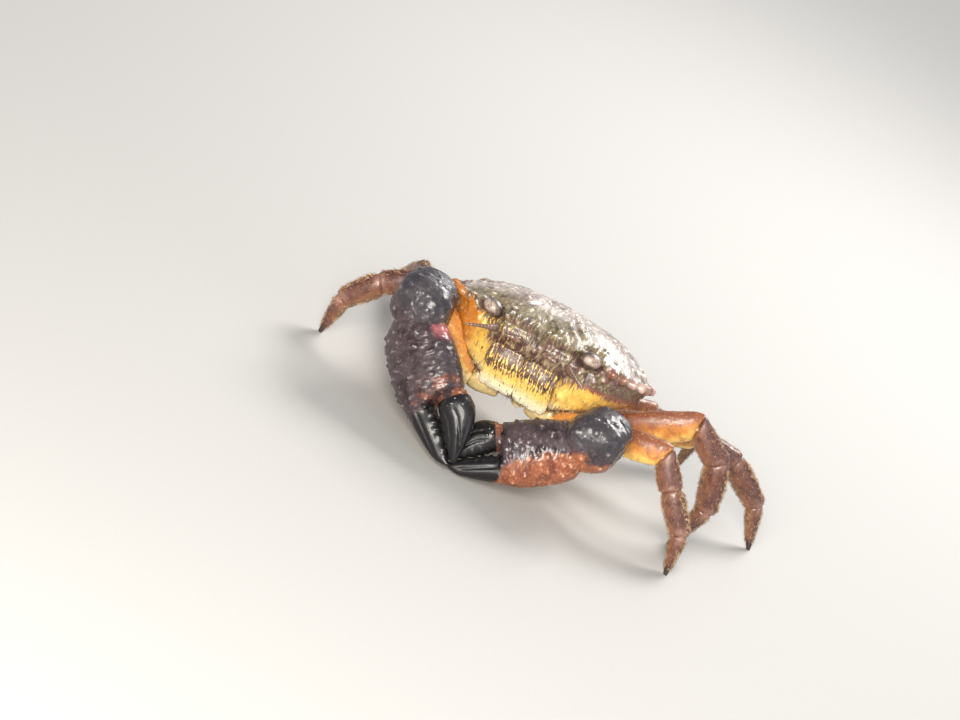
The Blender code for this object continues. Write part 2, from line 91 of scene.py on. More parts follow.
# %% Noise
def scramble(i, j, k, seed):
    """A number from 0 to 1 for each whole-number place."""
    n = (i * 374761393 + j * 668265263 + k * 1440662683 + seed * 974711) & 0xffffffff
    n = ((n ^ (n >> 13)) * 1274126177) & 0xffffffff
    return ((n ^ (n >> 16)) & 0xffffff) / 0xffffff


def soft_noise(points, size, seed=0):
    """Smooth noise from 0 to 1; size is the distance between its dents."""
    place = points / size
    cell = np.floor(place).astype(np.int64)
    t = place - cell
    t = t * t * (3 - 2 * t)
    total = 0
    for di in (0, 1):
        for dj in (0, 1):
            for dk in (0, 1):
                weight = np.abs(1 - di - t[:, 0]) * np.abs(1 - dj - t[:, 1]) * np.abs(1 - dk - t[:, 2])
                total = total + weight * scramble(*(cell + (di, dj, dk)).T, seed)
    return total


def rough_noise(points, size, seed=0):
    """Three sizes of soft noise on top of each other."""
    return (soft_noise(points, size, seed) + 0.5 * soft_noise(points, size / 2, seed + 1)
            + 0.25 * soft_noise(points, size / 4, seed + 2)) / 1.75


trial = np.random.default_rng(1).uniform(-30, 30, (4000, 3))
print("mean noise:", rough_noise(trial, 5).mean().round(2))


# %% Warts, and curves from 0 to 1
def warts(points, spacing, seed=0, width=0.46):
    """1 on the top of each wart, falling to 0 at its foot."""
    place = points / spacing
    cell = np.floor(place).astype(np.int64)
    nearest = np.full(len(points), 9.0)
    for di in (-1, 0, 1):
        for dj in (-1, 0, 1):
            for dk in (-1, 0, 1):
                corner = cell + (di, dj, dk)
                offset = [scramble(*corner.T, seed + axis) * 0.7 + 0.15 for axis in (0, 1, 2)]
                away = np.linalg.norm(corner + np.array(offset).T - place, axis=1)
                nearest = np.minimum(nearest, away)
    rise = np.clip(1 - nearest / width, 0, 1)
    return rise * rise * (3 - 2 * rise)


def ramp(values, low, high):
    """0 below low, 1 above high, smooth between; low may be the larger."""
    t = np.clip((values - low) / (high - low), 0, 1)
    return t * t * (3 - 2 * t)


def within(values, start, full, last, end):
    """1 from full to last, falling to 0 at start and at end."""
    return ramp(values, start, full) * ramp(values, end, last)


def unit(vector):
    return vector / np.linalg.norm(vector)


def bell(values, middle, width):
    return np.exp(-((values - middle) / width) ** 2)


print("share covered by warts:", (warts(trial, 2) > 0.1).mean().round(2))

# %% [markdown]
# ## From a CAD plate to a smooth plate
# The CAD plates are made of flat facets. Sculpting them by hand would give relief, but nothing that could
# be changed later. A subdivision surface rounds them into true curves instead. It would also melt the rims
# where one plate ends at the next, so edges that turn sharply keep a crease. The result is a dense plain
# mesh. Each point of it is then pushed in or out along its normal by a height that is worked out for its
# place: that is how the warts, teeth and grooves are made.

# %% Smooth plates
def put(name, data):
    """A new object in the scene."""
    obj = bpy.data.objects.new(name, data)
    bpy.context.scene.collection.objects.link(obj)
    return obj


def settle(obj):
    """Make what the modifiers show the object's own mesh."""
    dense = bpy.data.meshes.new_from_object(obj.evaluated_get(bpy.context.evaluated_depsgraph_get()))
    obj.modifiers.clear()
    obj.data = dense
    dense.name = obj.name


FLAT_ANGLE, SHARP_ANGLE = math.radians(35), math.radians(50)     # of an edge between two facets


def rounded(name, title, levels=3, crease=0.75):
    """A dense smooth copy of a CAD plate, as a new object."""
    mesh = bmesh.new()
    mesh.from_mesh(nodes[name].data)
    bmesh.ops.remove_doubles(mesh, verts=mesh.verts, dist=0.02 * MM)
    bmesh.ops.join_triangles(mesh, faces=mesh.faces, angle_face_threshold=FLAT_ANGLE,
                             angle_shape_threshold=math.radians(80))
    creases = mesh.edges.layers.float.new("crease_edge")
    for edge in mesh.edges:
        if len(edge.link_faces) == 2 and edge.calc_face_angle(0) > SHARP_ANGLE:
            edge[creases] = crease
    coarse = bpy.data.meshes.new(title + "_coarse")
    mesh.to_mesh(coarse)
    mesh.free()
    obj = put(title, coarse)
    subdivision = obj.modifiers.new("round", "SUBSURF")
    subdivision.levels = subdivision.render_levels = levels
    settle(obj)
    bpy.data.meshes.remove(coarse)
    return obj


def refine(obj, longest):
    """Cut every edge longer than this many millimetres, so that fine relief finds points to move."""
    mesh = bmesh.new()
    mesh.from_mesh(obj.data)
    long_edges = [edge for edge in mesh.edges if edge.calc_length() > longest * MM]
    bmesh.ops.subdivide_edges(mesh, edges=long_edges, cuts=1, smooth=1.0, use_grid_fill=True)
    mesh.to_mesh(obj.data)
    mesh.free()


def places(obj):
    """All points of a mesh and their normals, in metres."""
    count = len(obj.data.vertices)
    points, normals = np.empty(count * 3), np.empty(count * 3)
    obj.data.vertices.foreach_get("co", points)
    obj.data.vertex_normals.foreach_get("vector", normals)
    return points.reshape(-1, 3), normals.reshape(-1, 3)


def set_places(obj, points):
    obj.data.vertices.foreach_set("co", points.ravel())
    obj.data.update()


# %% What every piece gets in the end: relief, masks, a finish and its place
def raise_by(obj, heights):
    """Push each point out along its normal by its height in millimetres."""
    points, normals = places(obj)
    set_places(obj, points + normals * (heights * MM)[:, None])


def mark(obj, **masks):
    """Store numbers at every point, for the materials to read."""
    for name, values in masks.items():
        layer = obj.data.attributes.new(name, "FLOAT", "POINT")
        layer.data.foreach_set("value", np.ascontiguousarray(values, dtype=np.float32))


def place_piece(obj, material, slot, *replaced):
    """Dress a finished piece and fix it to the crab in place of its CAD plates."""
    obj.data.materials.clear()
    obj.data.materials.append(material)
    obj.data.shade_smooth()
    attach(obj, "root")
    if replaced:
        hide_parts(*replaced)


def finish_piece(obj, heights, material, slot, *replaced, **masks):
    raise_by(obj, heights)
    mark(obj, **masks)
    place_piece(obj, material, slot, *replaced)


# %% [markdown]
# ## Materials
# A wet crab is a clear gloss over a mottled, grainy shell. Painted pictures could colour it, but each plate
# would need its own, and they blur close up. So every finish mixes a few named colours by masks that the
# meshes carry (how high up the plate, how far along it, how warty), and noise frays the edges between
# them, so no line is ruled. The effects that several finishes share are node groups.

# %% Node helpers
def opaque(value):
    """A colour without see-through; a plain number stays as it is."""
    return (*value, 1.0) if isinstance(value, tuple) else value


class Paint:
    """A node tree, with a short word for each way to mix; a colour is given as red, green and blue."""

    def __init__(self, tree):
        self.tree = tree

    def link(self, output, socket):
        self.tree.links.new(output, socket)

    def node(self, kind, inputs=None, **options):
        """Add a node; an input takes a value or another node's output."""
        made = self.tree.nodes.new(kind)
        for name, value in options.items():
            setattr(made, name, value)
        for name, value in (inputs or {}).items():
            if isinstance(value, bpy.types.NodeSocket):
                self.link(value, made.inputs[name])
            else:
                made.inputs[name].default_value = opaque(value)
        return made

    def times(self, first, second):
        return self.node("ShaderNodeMath", {0: first, 1: second}, operation="MULTIPLY").outputs[0]

    def plus(self, first, second):
        return self.node("ShaderNodeMath", {0: first, 1: second}, operation="ADD").outputs[0]

    def blend(self, amount, under, over):
        """Lay one colour over another."""
        return self.node("ShaderNodeMix", {0: amount, 6: under, 7: over}, data_type="RGBA").outputs[2]

    def fade(self, value, low, high, top=1.0):
        """A mask that rises smoothly from 0 to its top while the value goes from low to high."""
        limits = {"Value": value, "From Min": low, "From Max": high, "To Max": top}
        return self.node("ShaderNodeMapRange", limits, interpolation_type="SMOOTHSTEP").outputs["Result"]

    def mask(self, name):
        """Numbers that the mesh carries."""
        return self.node("ShaderNodeAttribute", attribute_name=name).outputs["Fac"]

    def place(self):
        return self.node("ShaderNodeTexCoord").outputs["Object"]

    def cells(self, scale):
        """How far each point is from the middle of its cell; scale is in cells per metre."""
        return self.node("ShaderNodeTexVoronoi", {"Vector": self.place(), "Scale": scale}).outputs["Distance"]

    def cloud(self, scale, detail=3.0, roughness=0.55, where=None):
        """Noise from 0 to 1; scale is in patches per metre."""
        settings = {"Vector": where or self.place(), "Scale": scale, "Detail": detail, "Roughness": roughness}
        return self.node("ShaderNodeTexNoise", settings).outputs["Fac"]

    def fray(self, amount, *cloud, **where):
        """Noise on both sides of zero, which frays the edge of the mask it is added to."""
        return self.times(self.plus(self.cloud(*cloud, **where), -0.5), amount)

    def shared(self, effect, *values):
        """Place a shared effect; its inputs take the values in their order."""
        return self.node("ShaderNodeGroup", dict(enumerate(values)), node_tree=effect.tree).outputs[0]


# %% Shared effect: mottled pigment
def new_effect(name, inputs, outputs):
    """An empty node group, with its inputs' usual values; returns it and its inner ends."""
    effect = Paint(bpy.data.node_groups.new(name, "ShaderNodeTree"))
    for label, value in inputs.items():
        kind = "NodeSocketColor" if isinstance(value, tuple) else "NodeSocketFloat"
        socket = effect.tree.interface.new_socket(label, in_out="INPUT", socket_type=kind)
        socket.default_value = opaque(value)
    for label, kind in outputs.items():
        effect.tree.interface.new_socket(label, in_out="OUTPUT", socket_type="NodeSocket" + kind)
    return effect, effect.node("NodeGroupInput").outputs, effect.node("NodeGroupOutput").inputs


mottle, given, made = new_effect("mottled_pigment", {
    "Base": (0.3, 0.2, 0.1), "Dark": (0.05, 0.04, 0.03), "Light": (0.6, 0.5, 0.4),
    "Patches per metre": 300.0, "Dark amount": 0.5, "Light amount": 0.4}, {"Colour": "Color"})
coarse_patches = mottle.cloud(given["Patches per metre"])
fine_specks = mottle.cloud(mottle.times(given["Patches per metre"], 3.7), 4.0, 0.7)
dark_patches = mottle.fade(coarse_patches, 0.48, 0.66, given["Dark amount"])
toned = mottle.blend(dark_patches, given["Base"], given["Dark"])
light_specks = mottle.fade(fine_specks, 0.54, 0.68, given["Light amount"])
mottle.link(mottle.blend(light_specks, toned, given["Light"]), made["Colour"])
print("nodes in the mottling:", len(mottle.tree.nodes))

# %% Shared effect: grain, with a film of water here and there
grain, given, made = new_effect("shell_grain", {"Grains per metre": 2500.0, "Dull": 0.45, "Wet": 0.2},
                                {"Height": "Float", "Roughness": "Float"})
grains = grain.cloud(given["Grains per metre"], 2.0, 0.6)
pits = grain.fade(grain.cells(grain.times(given["Grains per metre"], 0.33)), 0.0, 0.35, 0.5)
grain.link(grain.plus(grain.times(grains, 0.6), pits), made["Height"])
wet_film = grain.fade(grain.cloud(120.0, 2.0), 0.42, 0.6)
film_range = {"Value": wet_film, "To Min": given["Dull"], "To Max": given["Wet"]}
grain.link(grain.node("ShaderNodeMapRange", film_range).outputs["Result"], made["Roughness"])
print("nodes in the grain:", len(grain.tree.nodes))

# %% Shared effect: painted shade between the warts, and pale wart tips that are partly painted highlight
tipped, given, made = new_effect("wart_shade_and_highlight", {
    "Colour": (0.3, 0.2, 0.1), "Tip": (0.7, 0.6, 0.5), "Foot": (0.05, 0.04, 0.03), "Amount": 0.6},
    {"Colour": "Color"})
# The ground between the warts is laid towards the Foot colour as painted shade, and each wart's top towards
# the Tip colour, partly the warts' own paler tone and partly painted highlight.
wart = tipped.mask("warts")
foot_shade = tipped.fade(wart, 0.3, 0.0, tipped.times(given["Amount"], 0.5))
shaded = tipped.blend(foot_shade, given["Colour"], given["Foot"])
pale_tip_and_highlight = tipped.fade(wart, 0.45, 0.95, given["Amount"])
tipped.link(tipped.blend(pale_tip_and_highlight, shaded, given["Tip"]), made["Colour"])
print("nodes in the wart tips:", len(tipped.tree.nodes))

# %% Shared effect: strands that run down the face, made of noise that is stretched along it
strands, given, made = new_effect("face_strands", {"Dark share": 0.5}, {"Mask": "Float"})
strand_place = strands.node("ShaderNodeCombineXYZ", {"X": strands.mask("across"), "Y": strands.mask("down")})
strand = strands.fray(2.6, 1.0, 2.0, 0.6, where=strand_place.outputs[0])
strands.link(strands.fade(strands.plus(given["Dark share"], strand), 0.4, 0.6), made["Mask"])
print("shared effects:", [group.name for group in bpy.data.node_groups])


# %% A finish starts with its gloss
class Finish(Paint):
    """A material with wet gloss and shell grain."""

    def __init__(self, name, gloss=0.5, gloss_roughness=0.12, dull=0.45, wet=0.22, bump=0.25):
        self.material = bpy.data.materials.new(name)
        self.material.use_nodes = True
        super().__init__(self.material.node_tree)
        self.shader = self.tree.nodes["Principled BSDF"]
        self.shader.inputs["Coat Weight"].default_value = gloss
        self.shader.inputs["Coat Roughness"].default_value = gloss_roughness
        skin = self.node("ShaderNodeGroup", {"Dull": dull, "Wet": wet}, node_tree=grain.tree).outputs
        self.link(skin["Roughness"], self.shader.inputs["Roughness"])
        self.relief(skin["Height"], bump, 0.15)

    def relief(self, height, strength, depth, **options):
        """Fine relief that only the light sees, this many millimetres deep."""
        settings = {"Height": height, "Strength": strength, "Distance": depth * MM}
        self.link(self.node("ShaderNodeBump", settings, **options).outputs["Normal"],
                  self.shader.inputs["Normal"])

    def coloured(self, colour):
        """Hand the colour to the shader; returns the finished material."""
        self.link(colour, self.shader.inputs["Base Color"])
        return self.material


# %% [markdown]
# ## The carapace's finish
# The back is mottled mauve grey, olive and brown. Under its edge the face turns orange towards the crab's
# right, yellow in the middle and cream along its lower rim, and dark strands hang over it from the brow.
# All of this could be several materials on separate faces, but colours on a living shell run into each
# other. So it is one finish: each layer is laid over the last one by a frayed mask.

# %% Back and face colours
def shell_paint():
    paint = Finish("shell", gloss=0.4, gloss_roughness=0.2, dull=0.5, wet=0.26, bump=0.4)
    back = paint.shared(mottle, (0.56, 0.475, 0.42), (0.12, 0.08, 0.062), (0.8, 0.7, 0.6), 210.0, 0.9, 0.75)
    back = paint.blend(paint.fade(paint.cloud(95.0), 0.5, 0.62, 0.6), back, (0.15, 0.12, 0.045))
    back = paint.blend(paint.fade(paint.cloud(62.0, 2.0), 0.5, 0.6, 0.45), back, (0.36, 0.25, 0.24))
    bumpy = paint.shared(mottle, (0.19, 0.15, 0.07), (0.045, 0.026, 0.018), (0.5, 0.42, 0.27), 420.0, 0.95,
                         0.8)
    brow = paint.plus(paint.mask("brow"), paint.fray(0.9, 160.0))
    back = paint.blend(paint.fade(brow, 0.35, 0.8, 0.85), back, bumpy)
    back = paint.shared(tipped, back, (0.56, 0.47, 0.36), (0.035, 0.02, 0.016), 0.7)

    ragged = paint.fray(0.55, 260.0, 4.0)
    depth = paint.plus(paint.mask("depth"), paint.times(ragged, 0.6))
    orange_side = paint.fade(paint.plus(paint.mask("orange"), ragged), 0.25, 0.8)
    face = paint.blend(orange_side, (0.8, 0.47, 0.08), (0.47, 0.15, 0.012))
    face = paint.blend(paint.fade(depth, 0.45, 0.8), face, (0.93, 0.68, 0.2))
    face = paint.blend(paint.fade(depth, 0.72, 0.95), face, (0.98, 0.93, 0.7))
    face = paint.shared(mottle, face, (0.36, 0.16, 0.05), (0.9, 0.78, 0.5), 330.0, 0.35, 0.3)
    face = paint.shared(tipped, face, (0.9, 0.76, 0.45), (0.3, 0.12, 0.03), 0.45)

    hood = paint.shared(mottle, (0.155, 0.085, 0.07), (0.035, 0.017, 0.018), (0.44, 0.34, 0.24), 420.0, 0.85,
                        0.7)
    hood = paint.blend(paint.fade(paint.cloud(330.0, 3.0), 0.44, 0.58), hood, bumpy)
    hood = paint.shared(tipped, hood, (0.6, 0.47, 0.36), (0.035, 0.016, 0.016), 0.7)

    skin = paint.blend(paint.fade(paint.plus(paint.mask("hood"), ragged), 0.3, 0.7), back, hood)
    face = paint.blend(paint.shared(strands, paint.mask("dark")), face, hood)
    skin = paint.blend(paint.fade(paint.mask("face"), 0.3, 0.7), skin, face)
    skin = paint.blend(paint.mask("red_rim"), skin, (0.27, 0.07, 0.04))
    # Inside each eye socket the skin is painted dark brown: painted shade in the hollow round the eye.
    return paint.coloured(paint.blend(paint.mask("socket"), skin, (0.085, 0.05, 0.042)))


shell_finish = shell_paint()
print("nodes in the carapace's finish:", len(shell_finish.node_tree.nodes))

# %% [markdown]
# ## Claw, leg, mouth and belly finishes
# Claws are purple grey on top and brick red below, with pale wart tips that are partly painted highlight
# over painted shade between the warts, and their fingers are black and as smooth as polished horn. The upper
# leg pieces run from red brown on top through orange to yellow below. Plates of one kind share one finish.
# Their masks say where each colour lies, so that no two look alike.

# %% Claw colours
def claw_paint():
    paint = Finish("claw", gloss=0.3, gloss_roughness=0.11, dull=0.48, wet=0.24, bump=0.35)
    paint.shader.inputs["Specular IOR Level"].default_value = 0.3
    ragged = paint.fray(1.5, 230.0, 4.0)
    top = paint.shared(mottle, (0.068, 0.044, 0.05), (0.02, 0.011, 0.013), (0.2, 0.16, 0.15), 240.0, 0.8, 0.6)
    # A cool blue grey over the knuckle and the palm's top: the knuckle's own grey, laid on more thickly where
    # the knuckle faces up, as a painted sky reflection.
    top = paint.blend(paint.fade(paint.mask("knuckle"), 0.2, 0.9, 0.65), top, (0.04, 0.043, 0.05))
    # A pink patch on the right palm's top next to the wrist: a painted pink highlight.
    blush = paint.plus(paint.mask("blush"), paint.times(ragged, 0.7))
    top = paint.blend(paint.fade(blush, 0.25, 1.0, 0.85), top, (0.46, 0.13, 0.14))
    top = paint.shared(tipped, top, (0.3, 0.24, 0.23), (0.012, 0.008, 0.009), 0.7)
    under = paint.shared(mottle, (0.3, 0.095, 0.042), (0.1, 0.022, 0.014), (0.64, 0.38, 0.19), 320.0, 0.7,
                         0.6)
    under = paint.shared(tipped, under, (0.62, 0.4, 0.24), (0.09, 0.025, 0.015), 0.8)
    red = paint.fade(paint.plus(paint.mask("red"), ragged), 0.25, 0.75)
    black = paint.fade(paint.plus(paint.mask("black"), paint.times(ragged, 0.4)), 0.32, 0.66)
    return paint.coloured(paint.blend(black, paint.blend(red, top, under), (0.008, 0.007, 0.008)))


claw_finish = claw_paint()
print("nodes in the claws' finish:", len(claw_finish.node_tree.nodes))

# %% Leg colours
HORN = (0.035, 0.02, 0.014)


def leg_paint(name, top, middle, low, dark, light):
    """Three bands round the leg, mottled, with a pink painted highlight by the joints and a dark horn tip
    where the mask says so.
    """
    paint = Finish(name, gloss=0.35, gloss_roughness=0.16, dull=0.5, wet=0.28)
    height = paint.plus(paint.mask("upper"), paint.fray(0.7, 210.0, 4.0))
    bands = paint.blend(paint.fade(height, 0.22, 0.52), low, middle)
    bands = paint.blend(paint.fade(height, 0.45, 0.72), bands, top)
    bands = paint.shared(mottle, bands, dark, light, 340.0, 0.6, 0.45)
    bands = paint.shared(tipped, bands, light, dark, 0.45)
    # Near the joints, on faces turned up, the bands turn pink: a painted highlight on the knees.
    bands = paint.blend(paint.times(paint.mask("joint"), 0.3), bands, (0.62, 0.36, 0.27))
    return paint.coloured(paint.blend(paint.fade(paint.mask("horn"), 0.35, 0.8), bands, HORN))


merus_finish = leg_paint("merus", (0.19, 0.058, 0.027), (0.6, 0.23, 0.04), (0.92, 0.6, 0.13),
                         (0.26, 0.075, 0.03), (0.86, 0.55, 0.2))
lower_leg_finish = leg_paint("lower_leg", (0.1, 0.032, 0.021), (0.145, 0.048, 0.026), (0.25, 0.1, 0.045),
                             (0.045, 0.014, 0.012), (0.42, 0.25, 0.16))
arm_finish = leg_paint("arm", (0.6, 0.24, 0.04), (0.84, 0.48, 0.09), (0.92, 0.78, 0.42),
                       (0.42, 0.15, 0.04), (0.9, 0.68, 0.34))
print("nodes in a leg finish:", len(arm_finish.node_tree.nodes))


# %% Belly, eye stalk, feeler and joint skin colours
def plain_paint(name, base, dark, light, patches=300.0, **gloss):
    """A mottled finish with painted shade between the warts and pale tips, partly painted highlight, and
    nothing else.
    """
    paint = Finish(name, **gloss)
    pigment = paint.shared(mottle, base, dark, light, patches, 0.6, 0.45)
    return paint.coloured(paint.shared(tipped, pigment, light, dark, 0.5))


belly_finish = plain_paint("belly", (0.74, 0.58, 0.27), (0.5, 0.28, 0.1), (0.85, 0.76, 0.5))
stalk_finish = plain_paint("eyestalk", (0.26, 0.2, 0.13), (0.06, 0.035, 0.025), (0.62, 0.55, 0.4), 700.0)
feeler_finish = plain_paint("feeler", (0.13, 0.065, 0.05), (0.05, 0.024, 0.02), (0.3, 0.2, 0.12), 900.0)
joint_finish = plain_paint("joint_skin", (0.66, 0.32, 0.22), (0.4, 0.14, 0.09), (0.82, 0.6, 0.46), 500.0,
                           gloss=0.8, gloss_roughness=0.06)


# %% Mouth plate colours
def mouth_paint():
    """Yellow plates with a cream lower end, under dark strands from the brow."""
    paint = Finish("mouth", gloss=0.35, gloss_roughness=0.2)
    pale = paint.shared(mottle, (0.86, 0.56, 0.13), (0.52, 0.25, 0.06), (0.93, 0.8, 0.46), 360.0, 0.5, 0.5)
    pale = paint.blend(paint.times(paint.mask("low"), 0.85), pale, (0.98, 0.94, 0.72))
    brown = paint.shared(mottle, (0.15, 0.085, 0.06), (0.045, 0.022, 0.02), (0.36, 0.28, 0.17), 420.0, 0.8,
                         0.7)
    brown = paint.shared(tipped, brown, (0.46, 0.36, 0.25), (0.04, 0.02, 0.018), 0.6)
    return paint.coloured(paint.blend(paint.shared(strands, paint.mask("dark")), pale, brown))


mouth_finish = mouth_paint()
print("finishes so far:", [finish.name for finish in (
    shell_finish, claw_finish, merus_finish, lower_leg_finish, arm_finish, belly_finish, mouth_finish)])

# %% [markdown]
# ## The carapace
# One plate covers the back, bends round at a toothed edge and runs on under it as the cheeks and the face.
# It could be sculpted, or bumps could be faked by the material, but then its outline would stay smooth.
# The CAD gives its swell. The subdivided copy is dense enough to press in two clean eye sockets, cut the
# furrows that mark the organs under the back, and raise warts that are largest at the front and sides.

# %% Regions of the carapace
# height of the toothed margin by the bearing from straight ahead, in millimetres and degrees
MARGIN_LEVEL = ((0, 1.5), (40, 1.0), (85, -1.5), (130, -0.5), (180, 1.0))
FACE_DEPTH = 23.0
FINEST_EDGE = 0.75

shell = rounded("carapace", "shell_plate")
refine(shell, FINEST_EDGE)
place = in_body(places(shell)[0])
x, y, z = place.T
wide = np.abs(x)
bearing = np.degrees(np.arctan2(wide, -y))
level = np.interp(bearing, *zip(*MARGIN_LEVEL))
below = level - z
back = ramp(below, 1.6, -0.6)
front = ramp(y, -3, -17)
flank = ramp(wide, 15, 29) * ramp(y, 12, 2)
snout = ramp(y, -18, -22)                # the straight front between the eyes
print("carapace points:", len(place), "of them on the back:", int((back > 0.5).sum()))


# %% Furrows and swellings of the back
def swelling(across, along, half_width, half_length):
    """A pair of low mounds, one on each side of the back."""
    return np.exp(-((wide - across) / half_width) ** 2 - ((y - along) / half_length) ** 2)


cross_furrow = bell(y, 7 - 17 * (wide / 24) ** 1.6, 1.1) * within(wide, 2, 6, 21, 27)
front_furrow = bell(wide, 4.2 + 0.12 * (y + 6) ** 2 / 4, 0.8) * within(y, -23, -18, -2, 4)
rear_furrow = bell(wide, 6.5 + 0.15 * y, 0.8) * within(y, 6, 9, 17, 22)
furrow = np.maximum(np.maximum(cross_furrow, 0.8 * front_furrow), 0.7 * rear_furrow)
mounds = (swelling(8, -14, 4.5, 6) + 0.8 * swelling(0, -4, 5, 6) + swelling(17, -9, 6, 6)
          + 0.7 * swelling(19, 8, 8, 8) + 0.6 * swelling(0, 13, 5, 6))
print("points in furrows:", int((furrow > 0.5).sum()))

# %% Teeth of the side margin and of the front
FIRST_TOOTH, TOOTH_STEP, TEETH = 48, 8, 6      # in degrees from straight ahead

tooth_place = (bearing - FIRST_TOOTH) / TOOTH_STEP
nearest_tooth = np.clip(np.round(tooth_place), 0, TEETH - 1)
off_tooth = np.hypot((tooth_place - nearest_tooth) * 4.7, (below - 0.2) * 1.1)
teeth = np.clip(1 - off_tooth / 2.3, 0, 1)
lobe_place = (wide - 1.1) / 2.3 + 0.5 * soft_noise(place, 3, 27)
lobe_teeth = ramp(np.abs(lobe_place % 1 - 0.5), 0.45, 0.1) * bell(z, 1.6, 1.0)
lobe_teeth *= ramp(wide, 13.0, 12.0) * snout
under_brow = bell(z, -0.6, 0.9) * ramp(wide, 13.5, 11.5) * snout
notch = bell(x, 0, 1.1) * bell(below, 0, 3.0) * snout
print("points on teeth:", int((teeth > 0).sum()), "on the front's lobes:", int((lobe_teeth > 0.1).sum()))

# %% Warts, wrinkles and the whole relief
big, small = warts(place, 3.1, 11), warts(place, 1.45, 23)
wrinkles = np.sin((z + 0.35 * y + 3 * soft_noise(place, 6, 5)) * 2.6) * ramp(wide, 17, 22) * ramp(below, 2, 4)
ribs = 0.5 + 0.5 * np.cos(2 * np.pi * (x + 0.25 * z + 3.0 * soft_noise(place, 3.0, 41)) / 1.2)
ribs = ribs * ramp(wide, 17, 13) * within(below, 1.5, 3.5, 9, 14) * ramp(y, -10, -16)
cheek_warts = 0.3 * big * ramp(wide, 16, 21) + 0.45 * warts(place, 1.9, 29) * ramp(below, 9, 5)
heights = back * (0.6 * mounds - 0.8 * furrow + big * (0.22 + 0.55 * np.maximum(front, flank)) + 0.2 * small)
heights += (1 - back) * (cheek_warts + 0.2 * small + 0.1 * wrinkles + 0.25 * ribs)
heights += 0.5 * bell(z, 2.0, 1.2) * snout * (rough_noise(place, 2.0, 28) - 0.5)
heights += 2.3 * teeth ** 1.4 + 1.7 * lobe_teeth - 0.6 * under_brow - 1.1 * notch
heights += 0.5 * (rough_noise(place, 5, 3) - 0.5)
mouth_seat = ramp(wide, 14.3, 13.3) * ramp(below, 8, 10.5) * ramp(y, -12, -15)
heights *= 1 - mouth_seat
raise_by(shell, heights)
print("carapace raised from", heights.min().round(2), "to", heights.max().round(2), "mm")

# %% Eye sockets with a beaded rim
ORBIT = np.array((17.6, -26.0, 0.9))        # middle of the left socket
ORBIT_RADIUS = 4.5
GAZE = unit(np.array((0.42, -0.88, 0.22)))  # the way that the left eye looks

raised = in_body(places(shell)[0])
socket = np.zeros(len(raised))
for hand in (1, -1):
    turn = np.array((hand, 1, 1))
    offset = raised - ORBIT * turn
    inward = -GAZE * turn
    depth_in = offset @ inward
    level_way = unit(np.cross((0, 0, 1), inward))
    across = np.hypot(offset @ level_way / 1.16, offset @ np.cross(inward, level_way) / 0.82)
    distance = np.hypot(across, depth_in)
    beads = 0.6 + 0.4 * np.cos(11 * np.arctan2(offset[:, 2], offset[:, 0]))
    brow_side = 0.6 + 1.0 * ramp(offset[:, 2], -1.0, 2.5)
    rim = bell(distance, ORBIT_RADIUS + 0.6, 0.75) * beads * brow_side * 1.25
    raised = raised - np.outer(rim * (distance > ORBIT_RADIUS), inward)
    inside = distance < ORBIT_RADIUS
    wall = np.sqrt(np.maximum(ORBIT_RADIUS ** 2 - across ** 2, 0)) - depth_in
    raised[inside] += np.outer(wall, inward)[inside]
    # socket marks the inside of each eye socket, which the carapace's finish paints dark as shade.
    socket = np.maximum(socket, ramp(distance, ORBIT_RADIUS + 0.15, ORBIT_RADIUS - 0.3))
set_places(shell, from_body(raised))
print("socket points:", int((socket > 0.5).sum()))


# %% Where the carapace's colours lie
def along_strands(place):
    """Where a point lies across and down the strands of the face."""
    return {"across": place[:, 0] / 0.55 + 0.12 * place[:, 2], "down": place[:, 2] / 3.2}


# how far below the margin the yellow of the face starts, from the crab's right to its left
FACE_START = ((-32, -1.0), (-24, 0.5), (-17, 5.0), (-8, 8.0), (0, 9.0), (17, 9.0), (26, 8.0), (33, 6.5))
start = np.interp(x, *zip(*FACE_START))
ahead = ramp(y, 14, 4)
start = start * ahead + 6 * (1 - ahead)
fray = 1.2 + 4.3 * ramp(wide, 22, 15) * ramp(y, -8, -15)      # how far the strands reach past the line
ledge = ramp(y, -17, -21)                                     # there the hood starts above the margin
red_rim = 0.6 * bell(below - start, -0.6, 0.8) * ramp(x, 12, 20) * ramp(y, 2, -6)
mark(shell, warts=np.maximum(big, 0.8 * small) * (1 - socket), brow=ramp(y, -12, -21) * back, socket=socket,
     depth=below / FACE_DEPTH, hood=ramp(below, 0.4 - 1.5 * ledge, 1.6 - 1.3 * ledge),
     face=ramp(below, start - fray - 0.6, start - fray + 0.6),
     dark=0.08 + 0.82 * ramp(below, start + fray, start - fray),
     orange=np.maximum(ramp(x, -14, -24), 0.6 * ramp(x, 20, 29)),
     red_rim=np.maximum(red_rim, 0.4 * ramp(teeth, 0.1, 0.6) * ramp(x, -20, 10)), **along_strands(place))
place_piece(shell, shell_finish, "shell", "carapace")
print("numbers that the carapace carries:", [layer.name for layer in shell.data.attributes
                                             if layer.data_type == "FLOAT" and layer.domain == "POINT"])

# %% [markdown]
# ## Eyes
# Each eye is a dome of thousands of tiny lenses on a short stalk. A sphere squashed to an oval would do from
# far off. Here the dome is turned like a ball on a lathe about the line it looks along, because its pale
# middle, partly its own colour and partly a painted reflection, and its dark surround are rings about that
# same line. The lenses are cells that only the light sees.

